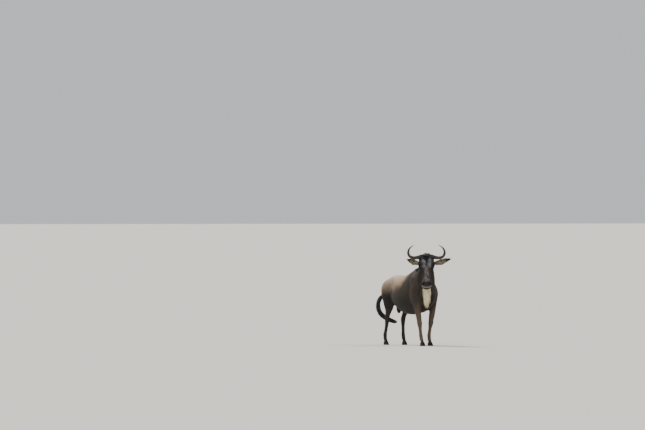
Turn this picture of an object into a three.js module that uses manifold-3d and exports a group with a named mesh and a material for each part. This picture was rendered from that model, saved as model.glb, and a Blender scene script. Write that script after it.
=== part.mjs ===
// A life-size, still model of a white-bearded wildebeest, standing alert with its head turned
// to its right. Millimetres, +Z up. The animal faces -Y, and its left side is +X. The origin is
// the centre of the bounding box's footprint, on the floor.
import * as THREE from "three";
import { ParametricGeometry } from "three/addons/geometries/ParametricGeometry.js";
import { mergeVertices } from "three/addons/utils/BufferGeometryUtils.js";
import Module from "manifold-3d";

const wasm = await Module();
wasm.setup();

// Clearance between pieces that touch, and how deep the root of a lock sinks in.
const GAP = 0.35;
const ROOT = 14;

// The head's place and attitude: the poll's centre, the turn to the animal's right, and how
// steeply the face slopes down.
const POLL = new THREE.Vector3(-91, -294, 1412);
const HEAD_TURN = THREE.MathUtils.degToRad(30);
const FACE_PITCH = THREE.MathUtils.degToRad(62);

const UP = new THREE.Vector3(0, 0, 1);
const LEFT = new THREE.Vector3(1, 0, 0);
const FRONT = new THREE.Vector3(0, -1, 0);

const FACING = new THREE.Vector3(-Math.sin(HEAD_TURN), -Math.cos(HEAD_TURN), 0);
const HEAD_LEFT = new THREE.Vector3().crossVectors(UP, FACING);
const HEAD_AXIS = FACING.clone().multiplyScalar(Math.cos(FACE_PITCH))
  .addScaledVector(UP, -Math.sin(FACE_PITCH));
const HEAD_TOP = FACING.clone().multiplyScalar(Math.sin(FACE_PITCH))
  .addScaledVector(UP, Math.cos(FACE_PITCH));

// Rows are hand-set sections from one end of a form to the other.
// Trunk: distance back from the shoulder line, back line, widest level, belly line, half
// width, sideways shift, and how square the upper and lower halves are (2 is round).
const TRUNK = [
  [-292, 872, 822, 768, 52, -24, 2.0, 2.0],
  [-268, 968, 832, 684, 112, -22, 2.0, 2.0],
  [-205, 1090, 842, 604, 160, -16, 2.0, 2.0],
  [-110, 1174, 848, 550, 188, -8, 1.9, 2.1],
  [0, 1214, 850, 520, 197, 0, 1.75, 2.2],
  [60, 1222, 844, 510, 202, 0, 1.7, 2.2],
  [150, 1202, 828, 498, 210, 0, 1.8, 2.2],
  [260, 1154, 812, 486, 218, 0, 1.95, 2.2],
  [380, 1116, 806, 490, 222, 0, 2.1, 2.2],
  [520, 1102, 812, 532, 216, 0, 2.15, 2.1],
  [650, 1106, 838, 602, 200, 0, 2.1, 2.0],
  [760, 1104, 864, 676, 186, 0, 2.0, 2.0],
  [860, 1072, 876, 738, 168, 0, 2.0, 2.0],
  [940, 1016, 878, 792, 138, 0, 2.0, 2.0],
  [992, 952, 876, 824, 96, 0, 2.0, 2.0],
  [1016, 906, 876, 846, 42, 0, 2.0, 2.0],
];

// Neck: crest point and throat point (sideways, along, up), and half width.
const NECK = [
  [0, 90, 1150, 0, -30, 660, 120],
  [-3, 0, 1226, -14, -190, 735, 158],
  [-20, -95, 1286, -30, -262, 850, 142],
  [-44, -172, 1350, -42, -272, 985, 118],
  [-72, -248, 1410, -54, -256, 1110, 100],
  [-96, -318, 1440, -66, -246, 1222, 88],
  [-112, -352, 1420, -80, -272, 1268, 60],
];

// Head: distance from the poll, face line, widest level, jaw line, half width, and how square
// the upper and lower halves are.
const HEAD = [
  [-14, 20, -12, -46, 46, 2.0, 2.0],
  [6, 62, -6, -80, 90, 2.0, 2.0],
  [42, 89, 2, -110, 112, 2.3, 2.0],
  [85, 97, 10, -128, 121, 2.3, 1.8],
  [130, 98, 20, -135, 127, 2.3, 1.7],
  [168, 96, 28, -130, 130, 2.3, 1.7],
  [204, 92, 26, -119, 123, 2.3, 1.8],
  [248, 87, 14, -104, 101, 2.3, 2.0],
  [305, 82, 5, -89, 80, 2.2, 2.3],
  [365, 77, 0, -78, 72, 2.2, 2.4],
  [412, 74, -2, -73, 71, 2.3, 2.5],
  [456, 73, -4, -73, 75, 2.5, 2.6],
  [498, 71, -4, -73, 80, 2.7, 2.8],
  [530, 63, -6, -71, 77, 2.7, 2.8],
  [554, 46, -8, -64, 64, 2.5, 2.6],
  [567, 22, -12, -50, 44, 2.3, 2.3],
];

// Legs: height, distance out from the middle, distance back, half width, half depth, taken at
// the joints and at the middle of each bone between them.
const FORE_RIGHT = [
  [1128, 92, 30, 30, 46],
  [1070, 112, 12, 48, 92],
  [980, 130, -28, 60, 128],
  [880, 144, -78, 66, 146],
  [785, 150, -100, 64, 124],
  [700, 150, -98, 58, 98],
  [620, 149, -112, 53, 76],
  [540, 147, -126, 46, 56],
  [460, 140, -139, 44, 50],
  [398, 134, -149, 40, 43],
  [362, 131, -154, 41, 43],
  [322, 128, -155, 36, 38],
  [278, 124, -158, 29, 32],
  [210, 119, -163, 27, 30],
  [158, 115, -168, 30, 36],
  [120, 113, -180, 28, 32],
  [88, 111, -192, 28, 31],
  [52, 110, -204, 30, 38],
];
const FORE_LEFT = [
  [1128, 92, 34, 30, 46],
  [1070, 112, 18, 48, 92],
  [980, 130, -18, 60, 128],
  [880, 144, -62, 66, 146],
  [785, 150, -82, 64, 124],
  [700, 150, -78, 58, 98],
  [620, 146, -82, 53, 76],
  [540, 141, -86, 46, 56],
  [460, 133, -81, 44, 50],
  [398, 126, -75, 40, 43],
  [362, 122, -74, 41, 43],
  [322, 119, -69, 36, 38],
  [278, 115, -62, 29, 32],
  [210, 109, -54, 27, 30],
  [158, 104, -50, 30, 36],
  [120, 102, -62, 28, 32],
  [88, 101, -74, 28, 31],
  [52, 100, -86, 30, 38],
];
const HIND_RIGHT = [
  [1052, 84, 800, 30, 60],
  [1000, 112, 798, 56, 132],
  [920, 132, 798, 70, 180],
  [830, 144, 784, 76, 182],
  [740, 148, 764, 72, 162],
  [655, 149, 752, 62, 130],
  [580, 146, 762, 53, 92],
  [515, 138, 796, 42, 62],
  [462, 131, 828, 35, 48],
  [424, 128, 846, 35, 48],
  [388, 126, 852, 35, 44],
  [345, 125, 862, 31, 36],
  [290, 123, 880, 28, 31],
  [215, 121, 908, 27, 30],
  [160, 120, 928, 30, 35],
  [120, 120, 922, 28, 32],
  [88, 120, 912, 28, 31],
  [52, 120, 902, 30, 38],
];
const HIND_LEFT = [
  [1052, 84, 790, 30, 60],
  [1000, 112, 786, 56, 132],
  [920, 132, 780, 70, 180],
  [830, 144, 756, 76, 184],
  [740, 148, 726, 72, 165],
  [655, 149, 706, 62, 131],
  [580, 146, 706, 53, 92],
  [515, 138, 734, 42, 62],
  [462, 131, 764, 35, 48],
  [424, 128, 780, 35, 48],
  [388, 126, 784, 35, 44],
  [345, 125, 784, 31, 36],
  [290, 123, 780, 28, 31],
  [215, 121, 774, 27, 30],
  [160, 120, 770, 30, 35],
  [120, 120, 760, 28, 32],
  [88, 120, 748, 28, 31],
  [52, 120, 736, 30, 38],
];
const LEGS = {
  foreleg_right: { side: -1, rows: FORE_RIGHT },
  foreleg_left: { side: 1, rows: FORE_LEFT },
  hindleg_right: { side: -1, rows: HIND_RIGHT },
  hindleg_left: { side: 1, rows: HIND_LEFT },
};

// Hoof: height, half width of one claw, how far the toe and the heel reach from the leg's line.
const HOOF_HEIGHT = 64;
const HOOF_TOE = 66;
const HOOF_HEEL = 34;
const CLAW_HALF = 17;
const CLAW_SPREAD = 18.5;

// Horn centreline from inside the head to the tip: out from the middle, ahead of the poll's
// centre, height, and radius.
const HORN = [
  [34, 58, 1402, 34],
  [70, 62, 1402, 36],
  [114, 68, 1394, 30],
  [168, 77, 1386, 25],
  [222, 84, 1389, 23.5],
  [266, 86, 1414, 22],
  [284, 78, 1459, 19.5],
  [276, 62, 1508, 16],
  [248, 44, 1546, 11.5],
  [212, 30, 1570, 7],
  [186, 22, 1583, 2.2],
];

// Ears: root and tip (out, ahead, height), the way the cup faces, length and width.
const EAR_WIDTH = 92;
const EAR_WALL = 3.2;
const EARS = {
  left: { root: [110, 46, 1294], tip: [390, 14, 1367], cup: [0.3, 0.93, -0.24] },
  right: { root: [-106, 48, 1291], tip: [-312, -32, 1357], cup: [-0.35, 0.92, -0.1] },
};

// Eye: place on the head (distance from the poll, above the middle, out), the way it looks
// (the same three ways), its radius and its lids' thickness.
const EYE = [188, 46, 108];
const EYE_LOOK = [0.14, 0.62, 0.77];
const EYE_RADIUS = 20;
const LID = 4.5;

// Tail centreline from inside the rump to the last hair, and how far the hair reaches from it.
const TAIL = [
  [0, 950, 982],
  [-4, 1014, 968],
  [-22, 1064, 896],
  [-60, 1088, 790],
  [-118, 1094, 724],
  [-149, 1092, 650],
  [-149, 1090, 574],
  [-120, 1084, 506],
  [-72, 1076, 454],
  [12, 1052, 403],
  [92, 1032, 368],
  [165, 1015, 352],
];
const TAIL_CUTS = [0.2, 0.56];

const SLOTS = {
  hide: { color: 0x6b5a4e, roughness: 0.85 },
  face: { color: 0x2a2524, roughness: 0.8 },
  mane: { color: 0x17130f, roughness: 0.75 },
  horn: { color: 0x3a332b, roughness: 0.5 },
  eye: { color: 0x120c08, roughness: 0.1 },
  hoof: { color: 0x1d1916, roughness: 0.55 },
};

// A smooth curve through points (xs, ys) that never overshoots them (monotone cubic pieces).
function curveThrough(xs, ys) {
  const last = xs.length - 1;
  const slopes = ys.slice(1).map((y, i) => (y - ys[i]) / (xs[i + 1] - xs[i]));
  const tangents = ys.map((_, i) => {
    if (i === 0) return slopes[0];
    if (i === last) return slopes[last - 1];
    const [a, b] = [slopes[i - 1], slopes[i]];
    return a * b <= 0 ? 0 : (2 * a * b) / (a + b);
  });
  return (x) => {
    let i = 0;
    while (i < last - 1 && (x - xs[i + 1]) * (xs[last] - xs[0]) > 0) i++;
    const step = xs[i + 1] - xs[i];
    const t = (x - xs[i]) / step;
    const [t2, t3] = [t * t, t * t * t];
    return ys[i] * (2 * t3 - 3 * t2 + 1) + ys[i + 1] * (3 * t2 - 2 * t3)
      + step * (tangents[i] * (t3 - 2 * t2 + t) + tangents[i + 1] * (t3 - t2));
  };
}

// Reads rows as curves over their index: the result gives all columns at any place 0 to 1.
function alongRows(rows) {
  const index = rows.map((_, i) => i);
  const columns = rows[0].map((_, c) => curveThrough(index, rows.map((row) => row[c])));
  return (t) => columns.map((column) => column(t * (rows.length - 1)));
}

// A point of a section: a superellipse about a centre, with its own upper and lower half.
function sectionPoint(section, angle, grow) {
  const { centre, across, up, half, above, below, powerUp, powerDown } = section;
  const [s, c] = [Math.sin(angle), Math.cos(angle)];
  const power = 2 / (c >= 0 ? powerUp : powerDown);
  const out = Math.sign(s) * Math.abs(s) ** power * (half + grow);
  const rise = Math.sign(c) * Math.abs(c) ** power * ((c >= 0 ? above : below) + grow);
  return centre.clone().addScaledVector(across, out).addScaledVector(up, rise);
}

// A closed solid from a geometry: shared vertices are merged and collapsed faces dropped.
function solidFrom(geometry) {
  const bare = geometry.clone();
  for (const name of Object.keys(bare.attributes)) {
    if (name !== "position") bare.deleteAttribute(name);
  }
  const merged = mergeVertices(bare, 1e-4);
  const index = merged.index.array;
  const kept = [];
  for (let i = 0; i < index.length; i += 3) {
    const [a, b, c] = [index[i], index[i + 1], index[i + 2]];
    if (a !== b && b !== c && c !== a) kept.push(a, b, c);
  }
  const build = (triVerts) => new wasm.Manifold(new wasm.Mesh({
    numProp: 3,
    vertProperties: new Float32Array(merged.attributes.position.array),
    triVerts: new Uint32Array(triVerts),
  }));
  const made = build(kept);
  if (made.volume() > 0) return made;
  const turned = [];
  for (let i = 0; i < kept.length; i += 3) turned.push(kept[i], kept[i + 2], kept[i + 1]);
  return build(turned);
}

// Lofts sections into a closed solid: sectionAt(0..1) gives each section, and grow swells it.
function loft(sectionAt, rings, sides, grow = 0) {
  const pole = (t, sign) => {
    const here = sectionAt(t).centre;
    const axis = here.clone().sub(sectionAt(t - sign * 0.01).centre).normalize();
    return here.clone().addScaledVector(axis, grow);
  };
  const place = (along, around, target) => {
    const ring = Math.round(along * (rings + 1)) - 1;
    if (ring < 0) return target.copy(pole(0, -1));
    if (ring >= rings) return target.copy(pole(1, 1));
    const section = sectionAt(ring / (rings - 1));
    return target.copy(sectionPoint(section, around * 2 * Math.PI, grow));
  };
  return solidFrom(new ParametricGeometry(place, rings + 1, sides));
}

function trunkSection(t) {
  const [back, top, level, belly, half, shift, powerUp, powerDown] = trunkAt(t);
  return {
    centre: new THREE.Vector3(shift, back, level), across: LEFT, up: UP,
    half, above: top - level, below: level - belly, powerUp, powerDown,
  };
}

function neckSection(t) {
  const [cx, cy, cz, tx, ty, tz, half] = neckAt(t);
  const crest = new THREE.Vector3(cx, cy, cz);
  const throat = new THREE.Vector3(tx, ty, tz);
  const up = crest.clone().sub(throat);
  const rise = up.length() / 2;
  up.normalize();
  const turn = HEAD_TURN * t;
  const across = new THREE.Vector3(Math.cos(turn), -Math.sin(turn), 0);
  across.addScaledVector(up, -across.dot(up)).normalize();
  return {
    centre: crest.add(throat).multiplyScalar(0.5), across, up,
    half, above: rise, below: rise, powerUp: 1.8, powerDown: 2.1,
  };
}

function headPoint(along, above, out) {
  return POLL.clone().addScaledVector(HEAD_AXIS, along)
    .addScaledVector(HEAD_TOP, above).addScaledVector(HEAD_LEFT, out);
}

function headSection(t) {
  const [along, top, level, jaw, half, powerUp, powerDown] = headAt(t);
  return {
    centre: headPoint(along, level, 0), across: HEAD_LEFT, up: HEAD_TOP,
    half, above: top - level, below: level - jaw, powerUp, powerDown,
  };
}

// A place given by its distance out from the head's middle, ahead of the poll, and its height.
function besideHead([out, ahead, height]) {
  const at = new THREE.Vector3(POLL.x, POLL.y, height);
  return at.addScaledVector(HEAD_LEFT, out).addScaledVector(FACING, ahead);
}

function legSection(leg) {
  const rowsAt = alongRows(leg.rows);
  return (t) => {
    const [height, out, back, half, depth] = rowsAt(t);
    return {
      centre: new THREE.Vector3(leg.side * out, back, height), across: LEFT, up: FRONT,
      half, above: depth, below: depth, powerUp: 2.1, powerDown: 2.1,
    };
  };
}

// Sections of a round tube along a curve, with its radius given over 0..1.
function tubeSection(curve, radiusAt, flatten = 1) {
  return (t) => {
    const clamped = THREE.MathUtils.clamp(t, 0, 1);
    const along = curve.getTangentAt(clamped);
    const across = new THREE.Vector3().crossVectors(along, FACING).normalize();
    const up = new THREE.Vector3().crossVectors(across, along).normalize();
    const radius = radiusAt(clamped);
    return {
      centre: curve.getPointAt(clamped), across, up,
      half: radius, above: radius * flatten, below: radius * flatten,
      powerUp: 2, powerDown: 2,
    };
  };
}

function ellipsoid(centre, axes, radii, detail = 14) {
  const shape = new THREE.SphereGeometry(1, detail, Math.round(detail * 0.7));
  const basis = new THREE.Matrix4().makeBasis(...axes.map((a, i) => a.clone().multiplyScalar(radii[i])));
  shape.applyMatrix4(basis.setPosition(centre));
  return solidFrom(shape);
}

// Everything on one side of a plane, as a box far larger than the animal.
const FAR = 4000;
function halfSpace(point, normal) {
  const shape = new THREE.BoxGeometry(FAR, FAR, FAR).translate(0, 0, FAR / 2);
  const turn = new THREE.Quaternion().setFromUnitVectors(UP, normal.clone().normalize());
  shape.applyQuaternion(turn).translate(...point.toArray());
  return solidFrom(shape);
}

function joined(solids) {
  return wasm.Manifold.union(solids);
}

// The largest closed body, without the loose scraps that a cut leaves.
function largest(solid) {
  const bodies = solid.decompose();
  return bodies.reduce((a, b) => (a.volume() > b.volume() ? a : b));
}

// A seeded random number generator, so that every build gives the same locks.
let seed = 20240;
function random(low, high) {
  seed = (seed * 1664525 + 1013904223) % 4294967296;
  return low + (high - low) * (seed / 4294967296);
}

// A flat lock of hair that tapers to a point along a path; flat is its thin way, and grow
// swells it on every side.
const LOCK_STEPS = 3;
const lockFullness = curveThrough([0, 1 / 3, 2 / 3, 1], [0.75, 1, 0.86, 0]);
function lock({ points, flat, width, thickness }, grow) {
  const path = new THREE.CatmullRomCurve3(points);
  const place = (along, around, target) => {
    const step = Math.round(along * (LOCK_STEPS + 1)) - 1;
    if (step < 0) return target.copy(points[0]);
    const t = step / LOCK_STEPS;
    const tangent = path.getTangent(t);
    const wide = new THREE.Vector3().crossVectors(tangent, flat).normalize();
    const thin = new THREE.Vector3().crossVectors(wide, tangent);
    const angle = around * 2 * Math.PI;
    const swell = t < 1 ? grow : 0;
    return target.copy(path.getPoint(t))
      .addScaledVector(tangent, t < 1 ? 0 : 3 * grow)
      .addScaledVector(wide, Math.cos(angle) * (0.5 * width * lockFullness(t) + 3 * swell))
      .addScaledVector(thin, Math.sin(angle) * (0.5 * thickness * lockFullness(t) + 1.5 * swell));
  };
  return solidFrom(new ParametricGeometry(place, LOCK_STEPS + 1, 4));
}

// Hair as one solid, from the measures of its locks.
const hairSolid = (locks, grow = 0) => joined(locks.map((measures) => lock(measures, grow)));

const trunkAt = alongRows(TRUNK);
const neckAt = alongRows(NECK);
const headAt = alongRows(HEAD);

const trunkLoft = (grow) => loft(trunkSection, 19, 22, grow);
const neckLoft = (grow) => loft(neckSection, 12, 18, grow);
const headLoft = (grow) => loft(headSection, 22, 20, grow);
const legLoft = (name, grow) => loft(legSection(LEGS[name]), 19, 10, grow);

function hornLoft(side, grow) {
  const points = HORN.map(([out, ahead, height]) => besideHead([side * out, ahead, height]));
  const curve = new THREE.CatmullRomCurve3(points, false, "centripetal");
  const lengths = HORN.map((_, i) => i / (HORN.length - 1));
  const radius = curveThrough(lengths, HORN.map((row) => row[3]));
  return loft(tubeSection(curve, radius, 0.9), 18, 10, grow);
}

// One claw of a hoof: a wedge with a flat sole, a sloping toe and a rounded outline.
function claw(leg, spread) {
  const [, out, back] = leg.rows.at(-1);
  const x = leg.side * out + spread * CLAW_SPREAD;
  const shapeAt = (t) => {
    const height = HOOF_HEIGHT * t;
    const toe = THREE.MathUtils.lerp(HOOF_TOE, HOOF_TOE * 0.46, t);
    const heel = THREE.MathUtils.lerp(HOOF_HEEL, HOOF_HEEL * 0.86, t);
    return {
      centre: new THREE.Vector3(x, back - (toe - heel) / 2, height), across: LEFT, up: FRONT,
      half: CLAW_HALF - 2 * t, above: (toe + heel) / 2, below: (toe + heel) / 2,
      powerUp: 2.1, powerDown: 2.8,
    };
  };
  return loft(shapeAt, 3, 12);
}

// A leaf-shaped ear with a hollow cup, on a short root tube.
function ear({ root, tip, cup }, grow) {
  const [from, to] = [besideHead(root), besideHead(tip)];
  const length = from.distanceTo(to);
  const along = to.clone().sub(from).normalize();
  const facing = new THREE.Vector3().addScaledVector(HEAD_LEFT, cup[0])
    .addScaledVector(FACING, cup[1]).addScaledVector(UP, cup[2]);
  facing.addScaledVector(along, -facing.dot(along)).normalize();
  const wide = new THREE.Vector3().crossVectors(facing, along);
  const halfAt = curveThrough([0, 0.2, 0.42, 0.66, 0.86, 1], [18, 34, EAR_WIDTH / 2, 38, 20, 2]);
  const curlAt = curveThrough([0, 0.3, 0.7, 1], [2.5, 1.9, 1.1, 0.5]);
  const [steps, folds] = [8, 5];
  const shell = (t, fold, inner) => {
    const curl = curlAt(t) * fold;
    const radius = halfAt(t) / Math.sin(Math.min(curlAt(t), Math.PI / 2));
    const reach = radius - (inner ? EAR_WALL * (1 - 0.6 * Math.abs(fold)) : 0) + grow;
    return from.clone().addScaledVector(along, length * t)
      .addScaledVector(wide, Math.sin(curl) * reach)
      .addScaledVector(facing, radius * 0.55 - Math.cos(curl) * reach);
  };
  // Around the section: out along the back of the shell and home along the cup.
  const place = (lengthwise, around, target) => {
    const step = Math.round(lengthwise * (steps + 2)) - 1;
    const turn = Math.round(around * 2 * (folds + 1)) % (2 * (folds + 1));
    if (step < 0) return target.copy(from);
    if (step > steps) return target.copy(to).addScaledVector(along, grow);
    const inner = turn > folds;
    const fold = inner ? (2 * folds + 1 - turn) / folds : turn / folds;
    return target.copy(shell(step / steps, fold * 2 - 1, inner));
  };
  const shellSolid = solidFrom(new ParametricGeometry(place, steps + 2, 2 * (folds + 1)));
  const stem = new THREE.LineCurve3(
    from.clone().addScaledVector(along, -30), from.clone().addScaledVector(along, 12));
  const stemRadius = (t) => 19 - 2 * t;
  return joined([shellSolid, loft(tubeSection(stem, stemRadius), 3, 8, grow)]);
}

// Where an eye sits, and its own axes: along its slit, across it, and the way it looks.
function eyePlace(side) {
  const outward = HEAD_LEFT.clone().multiplyScalar(side);
  const look = new THREE.Vector3().addScaledVector(HEAD_AXIS, EYE_LOOK[0])
    .addScaledVector(HEAD_TOP, EYE_LOOK[1]).addScaledVector(outward, EYE_LOOK[2]).normalize();
  const slit = HEAD_AXIS.clone().addScaledVector(look, -HEAD_AXIS.dot(look)).normalize();
  return {
    centre: headPoint(EYE[0], EYE[1], side * EYE[2]),
    axes: [slit, new THREE.Vector3().crossVectors(look, slit), look],
  };
}

function eyeBall(side, grow) {
  const { centre, axes } = eyePlace(side);
  return ellipsoid(centre, axes, axes.map(() => EYE_RADIUS + grow), 12);
}

// Lids, brows, nostrils and mouth line: forms raised on the head and forms cut into it.
function faceForms() {
  const raised = [];
  const cut = [];
  for (const side of [-1, 1]) {
    const outward = HEAD_LEFT.clone().multiplyScalar(side);
    const headAxes = [HEAD_AXIS, HEAD_TOP, outward];
    const { centre: eye, axes: eyeAxes } = eyePlace(side);
    const socket = EYE_RADIUS + LID;
    raised.push(ellipsoid(eye, eyeAxes, [socket + 9, socket + 2, socket], 11));
    cut.push(eyeBall(side, GAP));
    cut.push(ellipsoid(eye.clone().addScaledVector(eyeAxes[2], EYE_RADIUS + 3), eyeAxes,
      [19, 11.5, 14], 8));
    const brow = headPoint(EYE[0] - 26, EYE[1] + 14, side * (EYE[2] - 10));
    raised.push(ellipsoid(brow, headAxes, [42, 18, 22], 10));
    const wing = headPoint(506, 38, side * 44);
    raised.push(ellipsoid(wing, headAxes, [34, 29, 28], 10));
    const slant = HEAD_TOP.clone().addScaledVector(outward, 0.9).normalize();
    const opening = HEAD_AXIS.clone().addScaledVector(outward, -0.45).normalize();
    const nostril = headPoint(520, 60, side * 53);
    cut.push(ellipsoid(nostril, [opening, slant, new THREE.Vector3().crossVectors(opening, slant)],
      [21, 17, 9], 10));
  }
  const mouthAt = (t) => ({
    centre: headPoint(THREE.MathUtils.lerp(440, 590, t), THREE.MathUtils.lerp(-38, -6, t), 0),
    across: HEAD_LEFT, up: HEAD_TOP, half: 120, above: 2.5, below: 2.5, powerUp: 3, powerDown: 3,
  });
  const lipDepth = -8;
  cut.push(loft(mouthAt, 2, 8).subtract(loft(headSection, 10, 10, lipDepth)));
  return { raised, cut };
}

// The jaw line's level and the face line's level at a distance from the poll.
const jawLine = curveThrough(HEAD.map((row) => row[0]), HEAD.map((row) => row[3]));
const faceLine = curveThrough(HEAD.map((row) => row[0]), HEAD.map((row) => row[1]));

// Points of a lock that lies over a lofted form: from a sunk root at one angle round the
// section to a lifted tip at another, while it slips along the form.
function overForm(sectionAt, t, slip, fromAngle, toAngle, lift) {
  return [0, 1 / 3, 2 / 3, 1].map((share) => {
    const angle = THREE.MathUtils.lerp(fromAngle, toAngle, share);
    const rise = share === 0 ? -ROOT : lift * (1.1 - 0.4 * share);
    return sectionPoint(sectionAt(t + slip * share), angle, rise);
  });
}

// The way out of a section's surface at an angle round it.
function outwardAt(sectionAt, t, angle) {
  const section = sectionAt(t);
  return sectionPoint(section, angle, 10).sub(sectionPoint(section, angle, 0)).normalize();
}

// A row of locks along a form's crest, falling to both sides by turns.
function crestLocks(sectionAt, { count, from, to, slip, fall, width, lift }) {
  const made = [];
  for (let k = 0; k < count; k++) {
    const side = k % 2 ? 1 : -1;
    const share = k / (count - 1);
    const t = THREE.MathUtils.lerp(from, to, share);
    const reach = side * THREE.MathUtils.lerp(fall[0], fall[1], share) * random(0.88, 1.1);
    const points = overForm(sectionAt, t, slip * random(0.7, 1.3), -side * 0.07, reach, lift);
    const outward = outwardAt(sectionAt, t, reach * 0.5);
    made.push({ points, flat: outward, width: width * random(0.9, 1.12), thickness: 10 });
  }
  return made;
}

const maneOnNeck = () => crestLocks(neckSection,
  { count: 18, from: 0.94, to: 0.2, slip: -0.06, fall: [0.85, 0.62], width: 54, lift: 11 });
const maneOnWithers = () => crestLocks(trunkSection,
  { count: 10, from: 0.25, to: 0.43, slip: 0.03, fall: [0.5, 0.3], width: 46, lift: 6 });

// A lock that hangs: from a root sunk under a surface, out over it, and straight down.
function hangingLock(root, outward, { length, reach, width, thickness }) {
  const at = (share, forward) => root.clone().addScaledVector(UP, -length * share)
    .addScaledVector(outward, ROOT + forward);
  const points = [root, at(0.3, reach), at(0.65, reach * 1.05), at(1, reach * 0.9)];
  return { points, flat: outward, width, thickness };
}

// The beard: rows of locks that hang from the throat, longest on the middle line. The turned
// head draws them to the animal's right, and they stand further out above the breast.
const BEARD = { rows: 9, from: 0.9, to: 0.36, length: 240, width: 52, thickness: 11 };
const BEARD_DRAWN = 0.19;
const BEARD_REACH = [22, 42];
function beardLocks() {
  const made = [];
  for (let row = 0; row < BEARD.rows; row++) {
    const share = row / (BEARD.rows - 1);
    const t = THREE.MathUtils.lerp(BEARD.from, BEARD.to, share);
    for (const column of row % 2 ? [-1, 0, 1] : [-0.5, 0.5]) {
      const angle = Math.PI + BEARD_DRAWN + column * 0.22 + random(-0.04, 0.04);
      const root = sectionPoint(neckSection(t), angle, -ROOT);
      const outward = outwardAt(neckSection, t, angle).setZ(0).normalize();
      made.push(hangingLock(root, outward, {
        ...BEARD,
        length: BEARD.length * random(0.88, 1.06) * (1 - 0.14 * Math.abs(column)),
        reach: THREE.MathUtils.lerp(...BEARD_REACH, share) + random(-4, 4),
      }));
    }
  }
  return made;
}

// The beard's lowest rows, which hang from the front of the breast.
const BRISKET = { rows: 3, high: 866, low: 800, length: 215, side: -54, width: 50, thickness: 12 };
function brisketLocks() {
  const made = [];
  for (let row = 0; row < BRISKET.rows; row++) {
    const height = THREE.MathUtils.lerp(BRISKET.high, BRISKET.low, row / (BRISKET.rows - 1));
    for (const column of row % 2 ? [-1, 0, 1] : [-0.5, 0.5]) {
      const outward = FRONT.clone().addScaledVector(LEFT, column * 0.2).normalize();
      const root = new THREE.Vector3(BRISKET.side + column * 23, TRUNK[0][0] + ROOT, height);
      made.push(hangingLock(root, outward, {
        ...BRISKET,
        length: BRISKET.length * random(0.88, 1.05) * (1 - 0.2 * Math.abs(column)),
        reach: random(8, 14),
      }));
    }
  }
  return made;
}

// Short locks under the jaw, where the beard begins.
const CHIN = { rows: 6, from: 205, to: 462, width: 64, thickness: 10 };
function chinLocks() {
  const made = [];
  for (let row = 0; row < CHIN.rows; row++) {
    const along = THREE.MathUtils.lerp(CHIN.from, CHIN.to, row / (CHIN.rows - 1));
    for (const column of row % 2 ? [-1, 1] : [0]) {
      const root = headPoint(along, jawLine(along) + ROOT, column * 20);
      const length = random(82, 104) - 0.05 * along;
      const at = (share, out) => root.clone().addScaledVector(UP, -length * share)
        .addScaledVector(HEAD_TOP, -ROOT * Math.min(1, share * 3))
        .addScaledVector(HEAD_LEFT, column * out);
      made.push({ ...CHIN, points: [root, at(0.4, 4), at(0.7, 5), at(1, 1)], flat: HEAD_LEFT });
    }
  }
  return made;
}

// The forelock: locks from the poll that lie down the forehead between the horns.
function forelockLocks() {
  const made = [];
  for (let row = 0; row < 3; row++) {
    for (const column of row % 2 ? [-0.5, 0.5] : [-1, 0, 1]) {
      const along = 6 + row * 24 + random(-4, 4);
      const out = column * 18 + random(-3, 3);
      const length = random(54, 68);
      const at = (share, lift) => {
        const forward = along + length * share;
        const spread = out * (1 - 0.25 * share);
        return headPoint(forward, faceLine(forward) + lift - 0.006 * spread * spread, spread);
      };
      const points = [at(0, -ROOT), at(0.3, 11), at(0.65, 13), at(1, 7)];
      made.push({ points, flat: HEAD_TOP, width: random(28, 34), thickness: 10 });
    }
  }
  return made;
}

const tailCurve = new THREE.CatmullRomCurve3(TAIL.map((p) => new THREE.Vector3(...p)), false, "centripetal");
const tailCore = curveThrough([0, 0.14, 0.3, 0.7, 1], [30, 23, 15, 12, 4]);
const tailReach = curveThrough([0, 0.2, 0.4, 0.7, 0.9, 1], [14, 22, 35, 39, 37, 22]);

// The tail's hair: locks rooted on the core that follow its curve and end outside it.
const SWITCH = { rows: 5, from: 0.18, to: 0.74, aroundRow: 3, width: 60, thickness: 16 };
function tailLocks() {
  const made = [];
  const lineAt = tubeSection(tailCurve, () => 1);
  for (let row = 0; row < SWITCH.rows; row++) {
    const start = THREE.MathUtils.lerp(SWITCH.from, SWITCH.to, row / (SWITCH.rows - 1));
    for (let turn = 0; turn < SWITCH.aroundRow; turn++) {
      const angle = ((turn + 0.5 * (row % 2)) / SWITCH.aroundRow) * 2 * Math.PI + random(-0.15, 0.15);
      const run = Math.min(random(0.26, 0.32), 1 - start);
      const at = (share) => {
        const t = start + run * share;
        const reach = share === 0 ? 3 : tailReach(t) * (1.02 - 0.3 * share);
        return sectionPoint(lineAt(t), angle, reach);
      };
      const outward = outwardAt(lineAt, start, angle);
      made.push({ ...SWITCH, points: [at(0), at(0.3), at(0.65), at(1)], flat: outward });
    }
  }
  return made;
}

function material(slot) {
  return new THREE.MeshStandardMaterial({ ...SLOTS[slot], metalness: 0 });
}

const animal = new THREE.Group();
function add(name, solid, slot) {
  const whole = largest(solid).getMesh();
  const geometry = new THREE.BufferGeometry();
  geometry.setAttribute("position", new THREE.BufferAttribute(whole.vertProperties, 3));
  geometry.setIndex(new THREE.BufferAttribute(whole.triVerts, 1));
  const mesh = new THREE.Mesh(geometry, material(slot));
  mesh.name = name;
  animal.add(mesh);
}

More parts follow.
